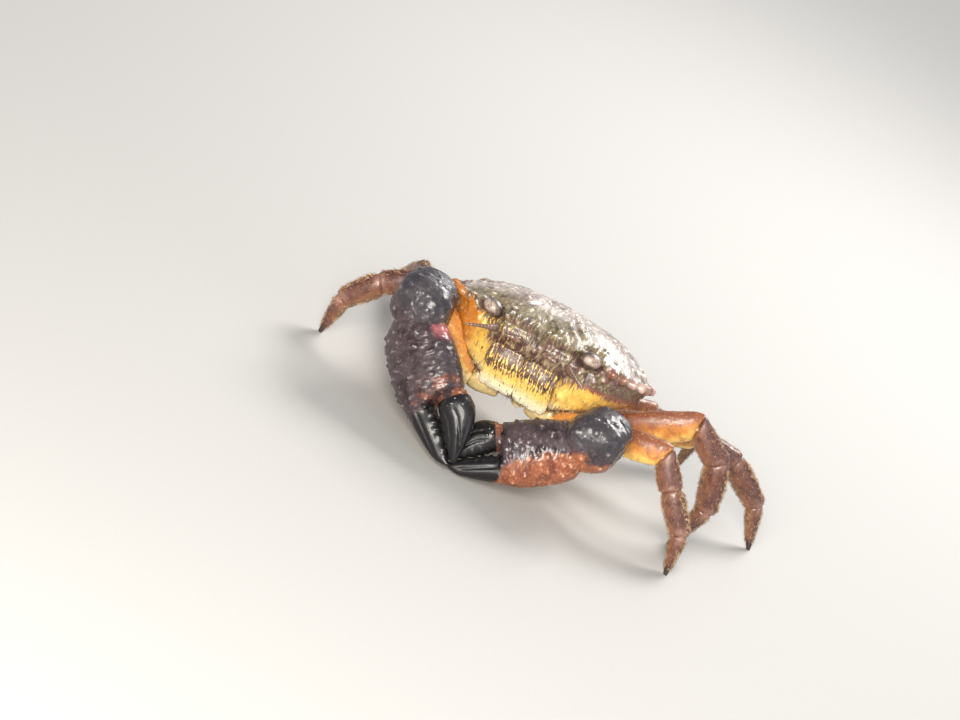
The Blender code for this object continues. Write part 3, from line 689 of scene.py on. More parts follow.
# %% Eye colours and lenses
def eye_paint():
    paint = Finish("eye", gloss=0.4, gloss_roughness=0.1, dull=0.5, wet=0.35)
    lenses = paint.cells(3600.0)
    paint.relief(lenses, 0.45, 0.09, invert=True)
    from_middle = paint.plus(paint.mask("rings"), paint.fray(0.7, 520.0, 4.0))
    pale = paint.shared(mottle, (0.54, 0.4, 0.32), (0.18, 0.11, 0.09), (0.74, 0.62, 0.5), 700.0, 0.8, 0.7)
    rest = paint.shared(mottle, (0.075, 0.05, 0.042), (0.025, 0.016, 0.016), (0.2, 0.15, 0.11), 700.0, 0.7,
                        0.6)
    # The pale middle is partly the eye's own colour and partly a painted reflection.
    iris = paint.blend(paint.fade(from_middle, 0.38, 0.85), pale, rest)
    between_lenses = paint.fade(lenses, 0.3, 0.6, 0.5)
    return paint.coloured(paint.blend(between_lenses, iris, (0.04, 0.025, 0.022)))


eye_finish = eye_paint()
print("nodes in the eyes' finish:", len(eye_finish.node_tree.nodes))


# %% A closed body through rings
def grid_mesh(title, rings):
    """A closed body through rings of equal count, with a fan at each end."""
    stations, sides = rings.shape[:2]
    corners = np.concatenate([rings.reshape(-1, 3), rings[:1].mean(axis=1), rings[-1:].mean(axis=1)])
    ring, spoke = np.meshgrid(np.arange(stations - 1), np.arange(sides), indexing="ij")
    following = (spoke + 1) % sides
    quads = np.stack([ring * sides + spoke, ring * sides + following, (ring + 1) * sides + following,
                      (ring + 1) * sides + spoke], axis=-1).reshape(-1, 4).tolist()
    start, end, last = stations * sides, stations * sides + 1, (stations - 1) * sides
    caps = [[start, (i + 1) % sides, i] for i in range(sides)]
    caps += [[end, last + i, last + (i + 1) % sides] for i in range(sides)]
    mesh = bpy.data.meshes.new(title)
    mesh.from_pydata(corners.tolist(), [], quads + caps)
    closed = bmesh.new()
    closed.from_mesh(mesh)
    bmesh.ops.recalc_face_normals(closed, faces=closed.faces)
    closed.to_mesh(mesh)
    closed.free()
    return put(title, mesh)


# %% Eye balls and stalks
EYE = np.array((17.3, -23.5, 0.95))
EYE_RADIUS = 3.1
EYE_OVAL = (1.16, 0.84)             # wider than high


def eye_ball(side, turn):
    gaze = body_axes @ (GAZE * turn)
    centre = from_body(EYE * turn)
    across = unit(np.cross((0, 0, 1), gaze))
    upright = np.cross(gaze, across)
    angles = np.linspace(0, 2 * np.pi, 96, endpoint=False)
    oval = EYE_OVAL[0] * np.outer(np.cos(angles), across) + EYE_OVAL[1] * np.outer(np.sin(angles), upright)
    rings = [centre + EYE_RADIUS * MM * (gaze * math.cos(t) + math.sin(t) * oval)
             for t in np.radians(np.linspace(1, 118, 56))]
    ball = grid_mesh(side + "_eyeball", np.array(rings))
    away = (places(ball)[0] - centre) / (EYE_RADIUS * MM)
    mark(ball, rings=np.hypot(away @ across / 1.5, away @ upright / 0.85) + ramp(away @ gaze, 0.2, -0.4))
    place_piece(ball, eye_finish, "eye", side + "_eye")


def eye_stalk(side):
    stalk = rounded(side + "_eyestalk", side + "_stalk")
    grown = warts(in_body(places(stalk)[0]), 0.9, 7)
    finish_piece(stalk, 0.08 + 0.15 * grown, stalk_finish, "eyestalk", side + "_eyestalk", warts=grown)


HANDS = (("left", 1), ("right", -1))
for side, hand in HANDS:
    eye_ball(side, np.array((hand, 1, 1)))
    eye_stalk(side)
print("eye radius", EYE_RADIUS, "mm, socket radius", ORBIT_RADIUS, "mm")

# %% [markdown]
# ## Mouth plates and feelers
# Two flat plates close over the mouth like shutters. They are lofted here from squared rings: a box would
# have no swell, and the CAD plate has too few points for the furrow, the joint across and the warts.
# The feelers above them are short, and jointed like a string of barrels, which a ripple along them gives.

# %% Where the mouth plates are
MOUTH_CENTRE = np.array((0, -23.9, -15.0))
MOUTH_LEAN = math.radians(36)
PLATE_HALF = (5.8, 8.3)             # half width and half height of one plate
PLATE_HALF_THICK = 1.1
CROSS_JOINT = 2.4                   # where the short upper piece of a plate meets the long lower one
FOLD_START, FOLD_BACK = 3.5, 1.7    # above this height the plate leans back under the brow, by so much
upward = np.array((0, -math.sin(MOUTH_LEAN), math.cos(MOUTH_LEAN)))
facing = np.array((0, -math.cos(MOUTH_LEAN), -math.sin(MOUTH_LEAN)))


def fold(risen):
    return FOLD_BACK * ramp(risen, FOLD_START, PLATE_HALF[1])


def mouth_plate_rings(hand):
    """Squared rings from the middle of the outer face round the edge to the back."""
    middle = MOUTH_CENTRE + np.array((hand * (PLATE_HALF[0] + 0.12), 0, 0))
    angles = np.linspace(0, 2 * np.pi, 132, endpoint=False)
    square = (np.abs(np.cos(angles)) ** 7 + np.abs(np.sin(angles)) ** 7) ** (-1 / 7)
    outer_face = [(t, 1 - 0.55 * t ** 5) for t in np.linspace(0.02, 1, 46)]
    rings = []
    for spread, height in outer_face + [(1.02, 0.1), (1.0, -0.7), (0.5, -1)]:
        across = hand * PLATE_HALF[0] * spread * square * np.cos(angles)
        rise = PLATE_HALF[1] * spread * square * np.sin(angles)
        rings.append(middle + np.outer(across, (1, 0, 0)) + np.outer(rise, upward)
                     + facing * height * PLATE_HALF_THICK)
    rings = np.array(rings)
    return rings - facing * fold((rings - MOUTH_CENTRE) @ upward)[..., None]


print("mouth plates in mm:", [2 * half for half in PLATE_HALF])


# %% Mouth plates
def mouth_plate(side, hand):
    obj = grid_mesh(side + "_mouth_plate", from_body(mouth_plate_rings(hand)))
    spot = in_body(places(obj)[0])
    wide, rise = np.abs(spot[:, 0]), (spot - MOUTH_CENTRE) @ upward
    front = ramp((spot - MOUTH_CENTRE) @ facing + fold(rise), 0.1, 0.5)
    outer_strip = bell(wide, 9.3 + 0.05 * rise, 0.3)
    long_groove = bell(wide, 4.6 + 0.05 * rise, 0.5) * ramp(rise, CROSS_JOINT - 0.8, CROSS_JOINT - 2.5)
    cross_joint = bell(rise, CROSS_JOINT - 0.12 * (wide - 6), 0.32) * ramp(wide, 9.6, 9.2)
    grown = warts(spot, 1.25, 31)
    heights = 0.35 * bell(wide, 7.0, 2.0) + 0.3 * bell(wide, 10.7, 0.8) + 0.25 * bell(rise, 5.2, 2.2)
    heights += (0.14 + 0.22 * ramp(rise, -1, 3)) * grown + 0.5 * (rough_noise(spot, 3, 33) - 0.5)
    heights -= 0.4 * outer_strip + 0.15 * long_groove + 0.3 * cross_joint
    finish_piece(obj, front * heights, mouth_finish, "mouth", side + "_maxilliped", warts=grown,
                 low=ramp(rise, -0.5, -7.5), dark=0.1 + 0.66 * ramp(rise, -4.5, 7), **along_strands(spot))


for side, hand in HANDS:
    mouth_plate(side, hand)
print("mouth plates placed")


# %% Feelers
def feeler(side, kind, spacing):
    obj = rounded(side + "_" + kind, side + "_" + kind + "_joints", levels=4, crease=0.3)
    spot = in_body(places(obj)[0])
    run = np.linalg.norm(spot - spot[np.argmin(np.abs(spot[:, 1]))], axis=1)
    ripple = 0.5 + 0.5 * np.cos(2 * np.pi * run / spacing)
    # The ripple's crests count as warts, so the finish paints shade in the grooves between the barrels and a
    # pale tip on each.
    finish_piece(obj, 0.08 + 0.05 * ripple, feeler_finish, "mouth", side + "_" + kind, warts=ripple)


for side, _ in HANDS:
    feeler(side, "antenna", spacing=0.9)
    feeler(side, "antennule", spacing=0.7)
print("feelers placed")

# %% [markdown]
# ## Claws
# A claw is a hollow plate that carries one finger, and a second finger that shuts against it. Subdividing
# the CAD plates would give points at random places. Both are lofted here again in the CAD's own frame,
# with about a hundred points round each ring, so that teeth, warts and grooves can be placed by how far
# along the claw a point lies and how high up on it.

# %% Where each claw is
BODY_HEIGHT = 39.5                  # of the body's centre, which the places below were measured for
# knuckle, wrist and fingertip in millimetres, height of the palm, radius of the knuckle, outer face
CLAWS = {
    "left": ((32.5, -29.5, 30), (28.5, -31.5, 24.8), (-3, -46, 3.5), 19.5, 9.2, (0.1, -0.8, 0.6)),
    "right": ((-36.5, -27.5, 34), (-35, -31, 28), (1, -51, 6), 21.5, 9.6, (-0.7, -0.6, 0.4)),
}
crab_shift = body_origin / MM - (0, 0, BODY_HEIGHT)


def claw_frame(side):
    """The claw's own axes and sizes."""
    *joints, height, radius, outer_face = CLAWS[side]
    knuckle, wrist, tip = (np.array(joint) + crab_shift for joint in joints)
    along = unit(tip - wrist)
    outer = unit(np.array(outer_face) - along * (along @ outer_face))
    across = outer if np.cross(outer, along)[2] > 0 else -outer
    return {"knuckle": knuckle, "wrist": wrist, "along": along, "across": across, "outer": outer,
            "up": np.cross(across, along), "length": np.linalg.norm(tip - wrist), "height": height,
            "radius": radius}


claw_frames = {side: claw_frame(side) for side in CLAWS}
for side, axes in claw_frames.items():
    knuckle_off = np.linalg.norm(points_of(side + "_claw_carpus").mean(axis=0) / MM - axes["knuckle"])
    print(side, "claw", axes["length"].round(1), "mm long, CAD knuckle off by", knuckle_off.round(2))


# %% Rings through a claw
CLAW_SIDES = 108


def ring_of(centre, along, side, low, high, thick, plane=None, sides=CLAW_SIDES):
    """An oval across `along`, from low to high, slid on to a slanting plane if one is given."""
    angles = 2 * np.pi * (np.arange(sides) + 0.5) / sides
    up = np.cross(side, along)
    ring = (centre + np.outer(thick * np.cos(angles), side)
            + np.outer((high + low) / 2 + (high - low) / 2 * np.sin(angles), up))
    if plane is not None:
        ring = ring - np.outer((ring - centre) @ plane / (along @ plane), along)
    return ring


def rings_between(rings, count):
    """Rings on smooth curves through the given ones that never overshoot them."""
    rings = np.array(rings)
    steps = np.linalg.norm(np.diff(rings, axis=0), axis=2).mean(axis=1)
    at = np.concatenate([[0], np.cumsum(steps)])
    rise = np.diff(rings, axis=0) / steps[:, None, None]
    slopes = np.zeros_like(rings)
    slopes[0], slopes[-1] = rise[0], rise[-1]
    same_way = rise[:-1] * rise[1:] > 0
    total = np.where(same_way, rise[:-1] + rise[1:], 1.0)
    slopes[1:-1] = np.where(same_way, 2 * rise[:-1] * rise[1:] / total, 0.0)
    wanted = np.linspace(0, at[-1], count)
    span = np.clip(np.searchsorted(at, wanted, side="right") - 1, 0, len(steps) - 1)
    t = ((wanted - at[span]) / steps[span])[:, None, None]
    h = steps[span][:, None, None]
    return ((2 * t**3 - 3 * t**2 + 1) * rings[span] + (t**3 - 2 * t**2 + t) * h * slopes[span]
            + (3 * t**2 - 2 * t**3) * rings[span + 1] + (t**3 - t**2) * h * slopes[span + 1])


def claw_rings(axes, shape, middle=0):
    """Rings at shares of the claw's length, round its line or one beside it."""
    line, reach = axes["wrist"] + middle, axes["along"] * axes["length"]
    return [ring_of(line + reach * share, axes["along"], axes["across"],
                    *(size * axes["height"] for size in sizes)) for share, *sizes in shape]


def in_claw(axes, points):
    """Share of the way to the fingertip, height and outward place as shares of the claw's height."""
    away = points / MM - axes["wrist"]
    return (away @ axes["along"] / axes["length"], away @ axes["up"] / axes["height"],
            away @ axes["outer"] / axes["height"])


print("points round each ring:", CLAW_SIDES)


# %% Palm with its fixed finger
# share of the length, lower and upper edge and half thickness as shares of the height
PALM_SHAPE = ((-0.03, -0.33, 0.32, 0.28), (0.03, -0.46, 0.40, 0.335), (0.13, -0.54, 0.45, 0.365),
              (0.32, -0.58, 0.49, 0.38), (0.47, -0.57, 0.47, 0.36), (0.555, -0.53, 0.43, 0.31),
              (0.60, -0.50, -0.03, 0.23), (0.72, -0.44, -0.07, 0.18), (0.84, -0.37, -0.09, 0.13),
              (0.94, -0.28, -0.1, 0.08), (1.0, -0.16, -0.1, 0.03))


def bite(axes, share, spacing, noise):
    """1 on each tooth of a finger's biting edge and 0 between the teeth, a spacing in millimetres apart."""
    return 0.5 + 0.5 * np.cos(2 * np.pi * (axes["length"] * share / spacing + 0.7 * noise))


def palm(side):
    axes = claw_frames[side]
    obj = grid_mesh(side + "_palm", rings_between(claw_rings(axes, PALM_SHAPE), 190) * MM)
    share, rise, outward = in_claw(axes, places(obj)[0])
    spot = places(obj)[0] / MM
    finger = ramp(share, 0.585, 0.64)
    outer_face = ramp(outward, -0.05, 0.12)
    big, small = warts(spot, 2.5, 61), warts(spot, 1.25, 67)
    heights = 0.75 * big * (0.3 + 0.7 * outer_face) + 0.24 * small * (0.4 + 0.6 * outer_face)
    heights *= (1 - finger) * ramp(share, 0.0, 0.06)
    top_edge = ramp(rise, -0.16, -0.08) * within(share, 0.61, 0.66, 0.92, 0.97)
    heights += (0.35 + 0.5 * bite(axes, share - 0.66, 2.9, soft_noise(spot, 4, 73))) * top_edge
    groove = bell(rise, -0.27 + 0.1 * (share - 0.6), 0.035)
    heights -= 0.35 * finger * groove * ramp(share, 0.95, 0.88)
    heights += 0.25 * (rough_noise(spot, 4.5, 71) - 0.5) * (1 - 0.7 * finger)
    drift = rough_noise(spot, 4.5, 75) - 0.5
    if side == "left":
        red = ramp(rise + 0.4 * drift, -0.06, -0.32)
    else:
        red = 0.38 * ramp(share + 0.25 * drift, 0.36, 0.54) * ramp(rise + 0.3 * drift, -0.5, -0.12)
    # On the right claw a pink patch is marked by the wrist, for the finish's painted pink highlight.
    finish_piece(obj, heights, claw_finish, "claw", side + "_claw_palm", red=red,
                 warts=np.maximum(big, 0.7 * small) * (1 - finger),
                 knuckle=ramp(rise, 0.1, 0.4) * (1 - finger) * 0.6,
                 black=ramp(share + 0.3 * drift, 0.5, 0.76),
                 blush=(side == "right") * bell(share, 0.16, 0.09) * ramp(rise, 0.22, 0.44))


# %% Movable finger
FINGER_SHAPE = ((0.66, 0.0, 0.52, 0.23), (0.76, -0.03, 0.5, 0.19), (0.86, -0.05, 0.36, 0.14),
                (0.95, -0.06, 0.16, 0.08), (1.0, -0.06, 0.02, 0.04))


def movable_finger(side):
    axes = claw_frames[side]
    along, up, height, length, wrist = (axes[key] for key in ("along", "up", "height", "length", "wrist"))
    low_end = wrist + along * length * 0.60 - up * 0.03 * height
    high_end = wrist + along * length * 0.56 + up * 0.47 * height
    hinge = unit(np.cross(high_end - low_end, axes["across"]))
    hinge = hinge if hinge @ along > 0 else -hinge
    reach = 0.2 * height
    root = (low_end + high_end) / 2 + hinge * 0.45 - along * 1.4
    rings = [ring_of(root, along, axes["across"], -reach, reach, 0.95 * reach, hinge)]
    rings += claw_rings(axes, FINGER_SHAPE)
    obj = grid_mesh(side + "_finger", rings_between(rings, 120) * MM)
    share, rise, _ = in_claw(axes, places(obj)[0])
    spot = places(obj)[0] / MM
    middle = np.interp(share, (0.6, 0.76, 0.86, 0.95, 1.0), (0.22, 0.23, 0.16, 0.05, -0.02))
    grooves = bell(rise, middle + 0.09, 0.025) + bell(rise, middle - 0.06, 0.025)
    big = warts(spot, 1.9, 83)
    base = ramp(share, 0.74, 0.64)
    low_edge = ramp(rise, middle - 0.12, middle - 0.22) * within(share, 0.66, 0.70, 0.9, 0.96)
    heights = 0.35 * big * base - 0.3 * grooves * within(share, 0.66, 0.72, 0.9, 0.97)
    heights += 0.35 * bite(axes, share - 0.665, 3.0, soft_noise(spot, 4, 87)) * low_edge
    heights += 0.12 * (rough_noise(spot, 3, 89) - 0.5)
    finish_piece(obj, heights, claw_finish, "finger", side + "_claw_finger", warts=big * base, red=0.5 * base,
                 black=ramp(share, 0.585, 0.645))


# %% Knuckle
SQUARENESS = 3.0                    # 2 would be a ball, and more is nearer to a box


def knuckle(side):
    """The squared ball between arm and palm."""
    axes = claw_frames[side]
    elbow_way = unit(points_of(side + "_claw_merus").mean(axis=0) / MM - axes["knuckle"])
    bend = unit(axes["along"] - elbow_way)
    level_side = unit(np.cross((0, 0, 1), bend))
    rings = []
    for turn in np.radians(np.linspace(-86, 86, 90)):
        reach = axes["radius"] * math.cos(turn) ** 0.75
        centre = axes["knuckle"] + bend * axes["radius"] * math.sin(turn)
        low = -reach * (1 - 0.08 * math.sin(turn))
        rings.append(ring_of(centre, bend, level_side, low, reach, 0.92 * reach))
    obj = grid_mesh(side + "_knuckle", np.array(rings) * MM)
    points, normals = places(obj)
    spot = points / MM
    big, small = warts(spot, 2.7, 101), warts(spot, 1.3, 103)
    away = spot - axes["knuckle"]
    square = np.stack([away @ bend, away @ level_side, away @ np.cross(level_side, bend)], axis=1)
    square = np.abs(square) / np.linalg.norm(square, axis=1)[:, None]
    corner = (square ** SQUARENESS).sum(axis=1) ** (-1 / SQUARENESS) - 1
    facing_up = ramp(normals[:, 2], -0.3, 0.3)
    heights = (0.25 + 0.25 * facing_up) * big + 0.2 * small + 0.7 * (rough_noise(spot, 7, 107) - 0.5)
    heights += axes["radius"] * (0.9 * corner - 0.05)
    heights += 0.22 * axes["radius"] * ramp(away @ axes["along"] / axes["radius"], 0.1, 1.0)
    low = away[:, 2] + 7 * (rough_noise(spot, 4.5, 109) - 0.5)
    red = ramp(low, -0.5, -7) if side == "left" else 0.4 * ramp(low, -3, -7)
    # The knuckle mask grows with facing_up, so the cool grey lies thicker on faces turned up: partly its own
    # grey, partly a painted sky reflection.
    finish_piece(obj, heights, claw_finish, "claw", side + "_claw_carpus", red=red,
                 warts=np.maximum(big, 0.7 * small), knuckle=0.4 + 0.6 * facing_up)


# %% Soft skin of the wrist
COLLAR_SHAPE = ((-0.02, -0.26, 0.24, 0.24), (0.0, -0.32, 0.29, 0.27), (0.02, -0.35, 0.31, 0.285),
                (0.05, -0.34, 0.29, 0.27))


def wrist_skin(side):
    """A soft pleated collar where the palm turns in the knuckle."""
    axes = claw_frames[side]
    inward = -axes["outer"] * axes["height"] * (0.07 if side == "right" else 0.01)
    obj = grid_mesh(side + "_wrist_skin", rings_between(claw_rings(axes, COLLAR_SHAPE, inward), 40) * MM)
    points = places(obj)[0]
    share, _, _ = in_claw(axes, points)
    pleats = np.sin(share * axes["length"] * 7) + 0.6 * soft_noise(points / MM, 1.5, 109)
    # The pleats' crests count as warts, so the finish paints shade in the folds and a pale tip on each crest.
    finish_piece(obj, 0.12 * pleats, joint_finish, None, warts=ramp(pleats, 0.3, 1.4))


for side in CLAWS:
    palm(side)
    movable_finger(side)
    knuckle(side)
    wrist_skin(side)
print("claws built")

# %% [markdown]
# ## Walking legs
# Each leg is a chain of four plates in one upright plane. The CAD plates have the right shape already, so
# they are only rounded and given relief. Colours and bristles follow the plate's own directions: how far
# along it, and whether a point faces up and out or down and in. These are measured from the ends of the
# CAD plates, which meet their neighbours across a thin parting.

# %% The joints of a leg
PIECES = ("merus", "carpus", "propodus", "dactyl")
LEG_RING = 10


def end_ring(name, neighbour):
    """The corners of a CAD plate that face the next plate."""
    own = np.unique(points_of(name).round(6), axis=0)
    other = np.unique(points_of(neighbour).round(6), axis=0)
    gaps = np.linalg.norm(own[:, None] - other[None], axis=2).min(axis=1)
    return own[np.argsort(gaps)[:LEG_RING]]


def leg_frame(leg):
    """Hip end, knee, ankle, toe joint and foot of a leg, and the level direction across it."""
    merus_points = points_of(leg + "_merus")
    nearest = np.argsort(np.linalg.norm(merus_points - body_origin, axis=1))[:LEG_RING]
    hip = merus_points[nearest].mean(axis=0)
    joints = [hip]
    for near, far in zip(PIECES, PIECES[1:]):
        ends = [end_ring(leg + "_" + near, leg + "_" + far).mean(axis=0),
                end_ring(leg + "_" + far, leg + "_" + near).mean(axis=0)]
        joints.append(sum(ends) / 2)
    toe_points = points_of(leg + "_dactyl")
    joints.append(toe_points[toe_points[:, 2] < 0.1 * MM].mean(axis=0))
    across = unit(np.cross((0, 0, 1), joints[-1] - joints[0]))
    return np.array(joints), across


LEGS = [side + "_" + str(pair) for side in ("left", "right") for pair in (1, 2, 3, 4)]
leg_frames = {leg: leg_frame(leg) for leg in LEGS}
for leg, (joints, _) in leg_frames.items():
    print(leg, "pieces in mm:", (np.linalg.norm(np.diff(joints, axis=0), axis=1) / MM).round(1))


# %% Leg plates
def leg_plate(leg, number):
    """One plate of a leg; returns what its bristles need."""
    joints, across = leg_frames[leg]
    piece = PIECES[number]
    start, end = joints[number], joints[number + 1]
    axis = unit(end - start)
    dorsal = np.cross(across, axis)
    outward = unit(joints[-1] - joints[0])
    if dorsal @ (outward + (0, 0, 1)) < 0:
        dorsal = -dorsal
    obj = rounded(leg + "_" + piece, leg + "_" + piece + "_plate", crease=0.1 if number == 0 else 0.4)
    points, normals = places(obj)
    spot = points / MM
    share = (points - start) @ axis / np.linalg.norm(end - start)
    from_start, from_end = (np.linalg.norm(points - joint, axis=1) / MM for joint in (start, end))
    big, small = warts(spot, 1.7, 131), warts(spot, 0.9, 137)
    upward = normals @ dorsal
    heights = 0.26 + 0.16 * big * ramp(upward, -0.4, 0.6) + 0.07 * small
    if piece == "dactyl":
        groove = bell((points - start) @ across / MM, 0, 0.35) * within(share, 0.05, 0.2, 0.6, 0.9)
        heights = (0.12 - 0.22 * groove) * ramp(points[:, 2] / MM, 0.2, 2.0)
    collar = bell(share, 0.94, 0.045) if piece != "dactyl" else bell(share, 0.06, 0.05)
    heights += 0.28 * collar
    raise_by(obj, heights)
    # Close to a joint and on faces turned up, the finish paints a pink highlight.
    near_joint_highlight = ramp(np.minimum(from_start, from_end) if number else from_end, 4.2, 2.0)
    # Warts count only on faces turned up, so the finish's painted shade between warts lies over the whole
    # underside of each leg plate.
    mark(obj, warts=np.maximum(big, small * 0.6) * ramp(upward, -0.5, 0.4), upper=0.5 + 0.5 * upward,
         joint=near_joint_highlight * ramp(upward, -0.5, 0.5), horn=(piece == "dactyl") * ramp(share, 0.55, 0.9))
    finish, slot = (merus_finish, "merus") if number == 0 else (lower_leg_finish, "leg")
    place_piece(obj, finish, slot, leg + "_" + piece)
    return obj, start, end, axis, dorsal, across


leg_plates = {leg: [leg_plate(leg, number) for number in range(4)] for leg in LEGS}
print("leg plates:", sum(len(plates) for plates in leg_plates.values()))


# %% Soft skin in the leg joints
def joint_skin(leg, number):
    """A smaller soft tube across the parting of two plates."""
    near, far = (leg + "_" + PIECES[i] for i in (number, number + 1))
    ends = [end_ring(near, far), end_ring(far, near)]
    joints, across = leg_frames[leg]
    axis = unit(ends[1].mean(axis=0) - ends[0].mean(axis=0))
    before, after = unit(joints[number + 1] - joints[number]), unit(joints[number + 2] - joints[number + 1])
    thick = min(np.ptp(end @ across) for end in ends) / 2
    up = np.cross(across, axis)
    deep = min(np.ptp(end @ up) for end in ends) / 2
    middle = joints[number + 1]
    rings = []
    for way, direction, swell in ((-1.6, before, 0.7), (-0.6, before, 0.86), (0, axis, 0.93),
                                  (0.6, after, 0.86), (1.6, after, 0.7)):
        side_way = unit(across - direction * (across @ direction))
        rings.append(ring_of(middle + direction * way * MM, direction, side_way, -deep * swell,
                             deep * swell, thick * swell, sides=40))
    obj = grid_mesh(leg + "_" + PIECES[number] + "_joint_skin", rings_between(rings, 24))
    mark(obj, warts=soft_noise(places(obj)[0] / MM, 0.6, 149))
    place_piece(obj, joint_finish, None)


for leg in LEGS:
    for number in range(3):
        joint_skin(leg, number)
print("leg joints skinned")

# %% [markdown]
# ## Belly
# The belly plates are broad and cream, with furrows between the plates of the five pairs of legs. The CAD
# solid joins them with the leg sockets, and there a subdivision surface would pinch. So its facets are
# evened out by remeshing before the furrows go in.

# %% Remeshed plates: belly and upper arms
def evened(name, title, voxel, rounds):
    """A smooth remeshed copy of a CAD plate."""
    obj = put(title, nodes[name].data.copy())
    remesh = obj.modifiers.new("even", "REMESH")
    remesh.mode = "VOXEL"
    remesh.voxel_size = voxel * MM
    soften = obj.modifiers.new("soften", "SMOOTH")
    soften.factor = 0.5
    soften.iterations = rounds
    settle(obj)
    return obj


belly = evened("thorax", "belly_plates", voxel=0.42, rounds=6)
spot = in_body(places(belly)[0])
wide = np.abs(spot[:, 0])
flat = ramp(spot[:, 2], -16, -20)
furrows = sum(bell(spot[:, 1], ahead + 0.22 * wide, 0.4) for ahead in (-10, -5.5, -0.5, 5, 10.5))
furrows *= ramp(wide, 4, 6)
grown = warts(spot, 1.3, 151)
heights = 0.06 + 0.08 * grown - flat * (0.4 * furrows + 0.5 * bell(spot[:, 0], 0, 0.5))
finish_piece(belly, heights, belly_finish, "belly", "thorax", warts=grown)

tail = rounded("abdomen", "tail_flap")
spot = in_body(places(tail)[0])
run = spot[:, 1] - 1.2 * (spot[:, 2] + 25)
segment = bell((run / 4.3) % 1, 0.5, 0.1)
grown = warts(spot, 1.4, 157)
heights = 0.12 + 0.08 * grown - 0.3 * segment
finish_piece(tail, heights, belly_finish, "belly", "abdomen", warts=grown * (1 - segment))

for side in CLAWS:
    arm = evened(side + "_claw_merus", side + "_arm", voxel=0.3, rounds=10)
    arm_points, arm_normals = places(arm)
    spot = arm_points / MM
    grown = warts(spot, 1.6, 163)
    finish_piece(arm, 0.1 + 0.2 * grown, arm_finish, "merus", side + "_claw_merus", warts=grown,
                 upper=ramp(arm_normals[:, 2], -0.7, 0.9))
print("belly, tail and arms placed")

# %% [markdown]
# ## Bristles
# Stiff hairs fringe the legs and the edge above the mouth. A hair system would be lost in the export, so
# they are thin closed spikes, a few to a tuft, that leave the shell at a slant and bend towards the tip of
# the leg. Each leg's bristles are one mesh. Every tuft keeps a small patch of its own on a map that
# unrolls the leg, for baking its colour.

# %% Bristle maker
paint = Finish("bristle", gloss=0.1, dull=0.6, wet=0.5, bump=0.05)
straw = paint.blend(paint.fade(paint.cloud(700.0), 0.4, 0.6), (0.24, 0.11, 0.055), (0.60, 0.41, 0.22))
straw_finish = paint.coloured(straw)
BRISTLE_HALF = 0.045 * MM
TUFT_PATCH = 0.003


def bristles(title, roots, leans, lengths, map_places, chance, stray=0.22, hairs=3):
    """A joined mesh of tapering bent spikes; every root gets a few of them."""
    roots = np.repeat(roots, hairs, axis=0)
    leans = np.repeat(leans, hairs, axis=0) + chance.normal(0, stray, (len(roots), 3))
    leans /= np.linalg.norm(leans, axis=1)[:, None]
    lengths = np.repeat(lengths, hairs) * chance.uniform(0.6, 1.0, len(roots))
    map_places = np.repeat(map_places, hairs, axis=0)
    guide = np.where(np.abs(leans[:, 2:]) < 0.8, (0, 0, 1.0), (1.0, 0, 0))
    first = np.cross(leans, guide)
    first /= np.linalg.norm(first, axis=1)[:, None]
    second = np.cross(leans, first)
    sag = chance.normal(0, 0.12, (len(roots), 3)) * lengths[:, None]
    corners = []
    for share, thickness in ((-0.1, 1.0), (0.5, 0.7)):
        centre = roots + leans * (lengths * share)[:, None] + sag * share ** 2
        for turn in (0, 2 * np.pi / 3, 4 * np.pi / 3):
            way_out = first * math.cos(turn) + second * math.sin(turn)
            corners.append(centre + BRISTLE_HALF * thickness * way_out)
    corners.append(roots + leans * lengths[:, None] + sag)
    corners = np.stack(corners, axis=1)
    corners[:, :, 2] = np.maximum(corners[:, :, 2], 0.05 * MM)      # nothing goes into the floor
    base = np.arange(len(roots))[:, None] * 7
    triangles = np.array([(0, 1, 4), (0, 4, 3), (1, 2, 5), (1, 5, 4), (2, 0, 3), (2, 3, 5), (3, 4, 6),
                          (4, 5, 6), (5, 3, 6), (2, 1, 0)])
    faces = (base[:, :, None] + triangles[None]).reshape(-1, 3)
    mesh = bpy.data.meshes.new(title)
    mesh.from_pydata(corners.reshape(-1, 3).tolist(), [], faces.tolist())
    spread = np.array([(math.cos(k), math.sin(k)) for k in range(7)]) * TUFT_PATCH / 2
    map_corners = np.clip(map_places[:, None] + spread[None], 0, 1).reshape(-1, 2)
    layer = mesh.uv_layers.new(name="OFBake")
    layer.data.foreach_set("uv", map_corners[faces.ravel()].ravel())
    return put(title, mesh)


# %% Bristles on the legs
# tufts on each square of leg shell, their length in millimetres, and how far they stand off the shell
LEG_HAIR = {"merus": (220, 1.2, 0.35), "carpus": (260, 1.5, 0.45), "propodus": (560, 2.1, 0.5),
            "dactyl": (620, 1.9, 0.45)}


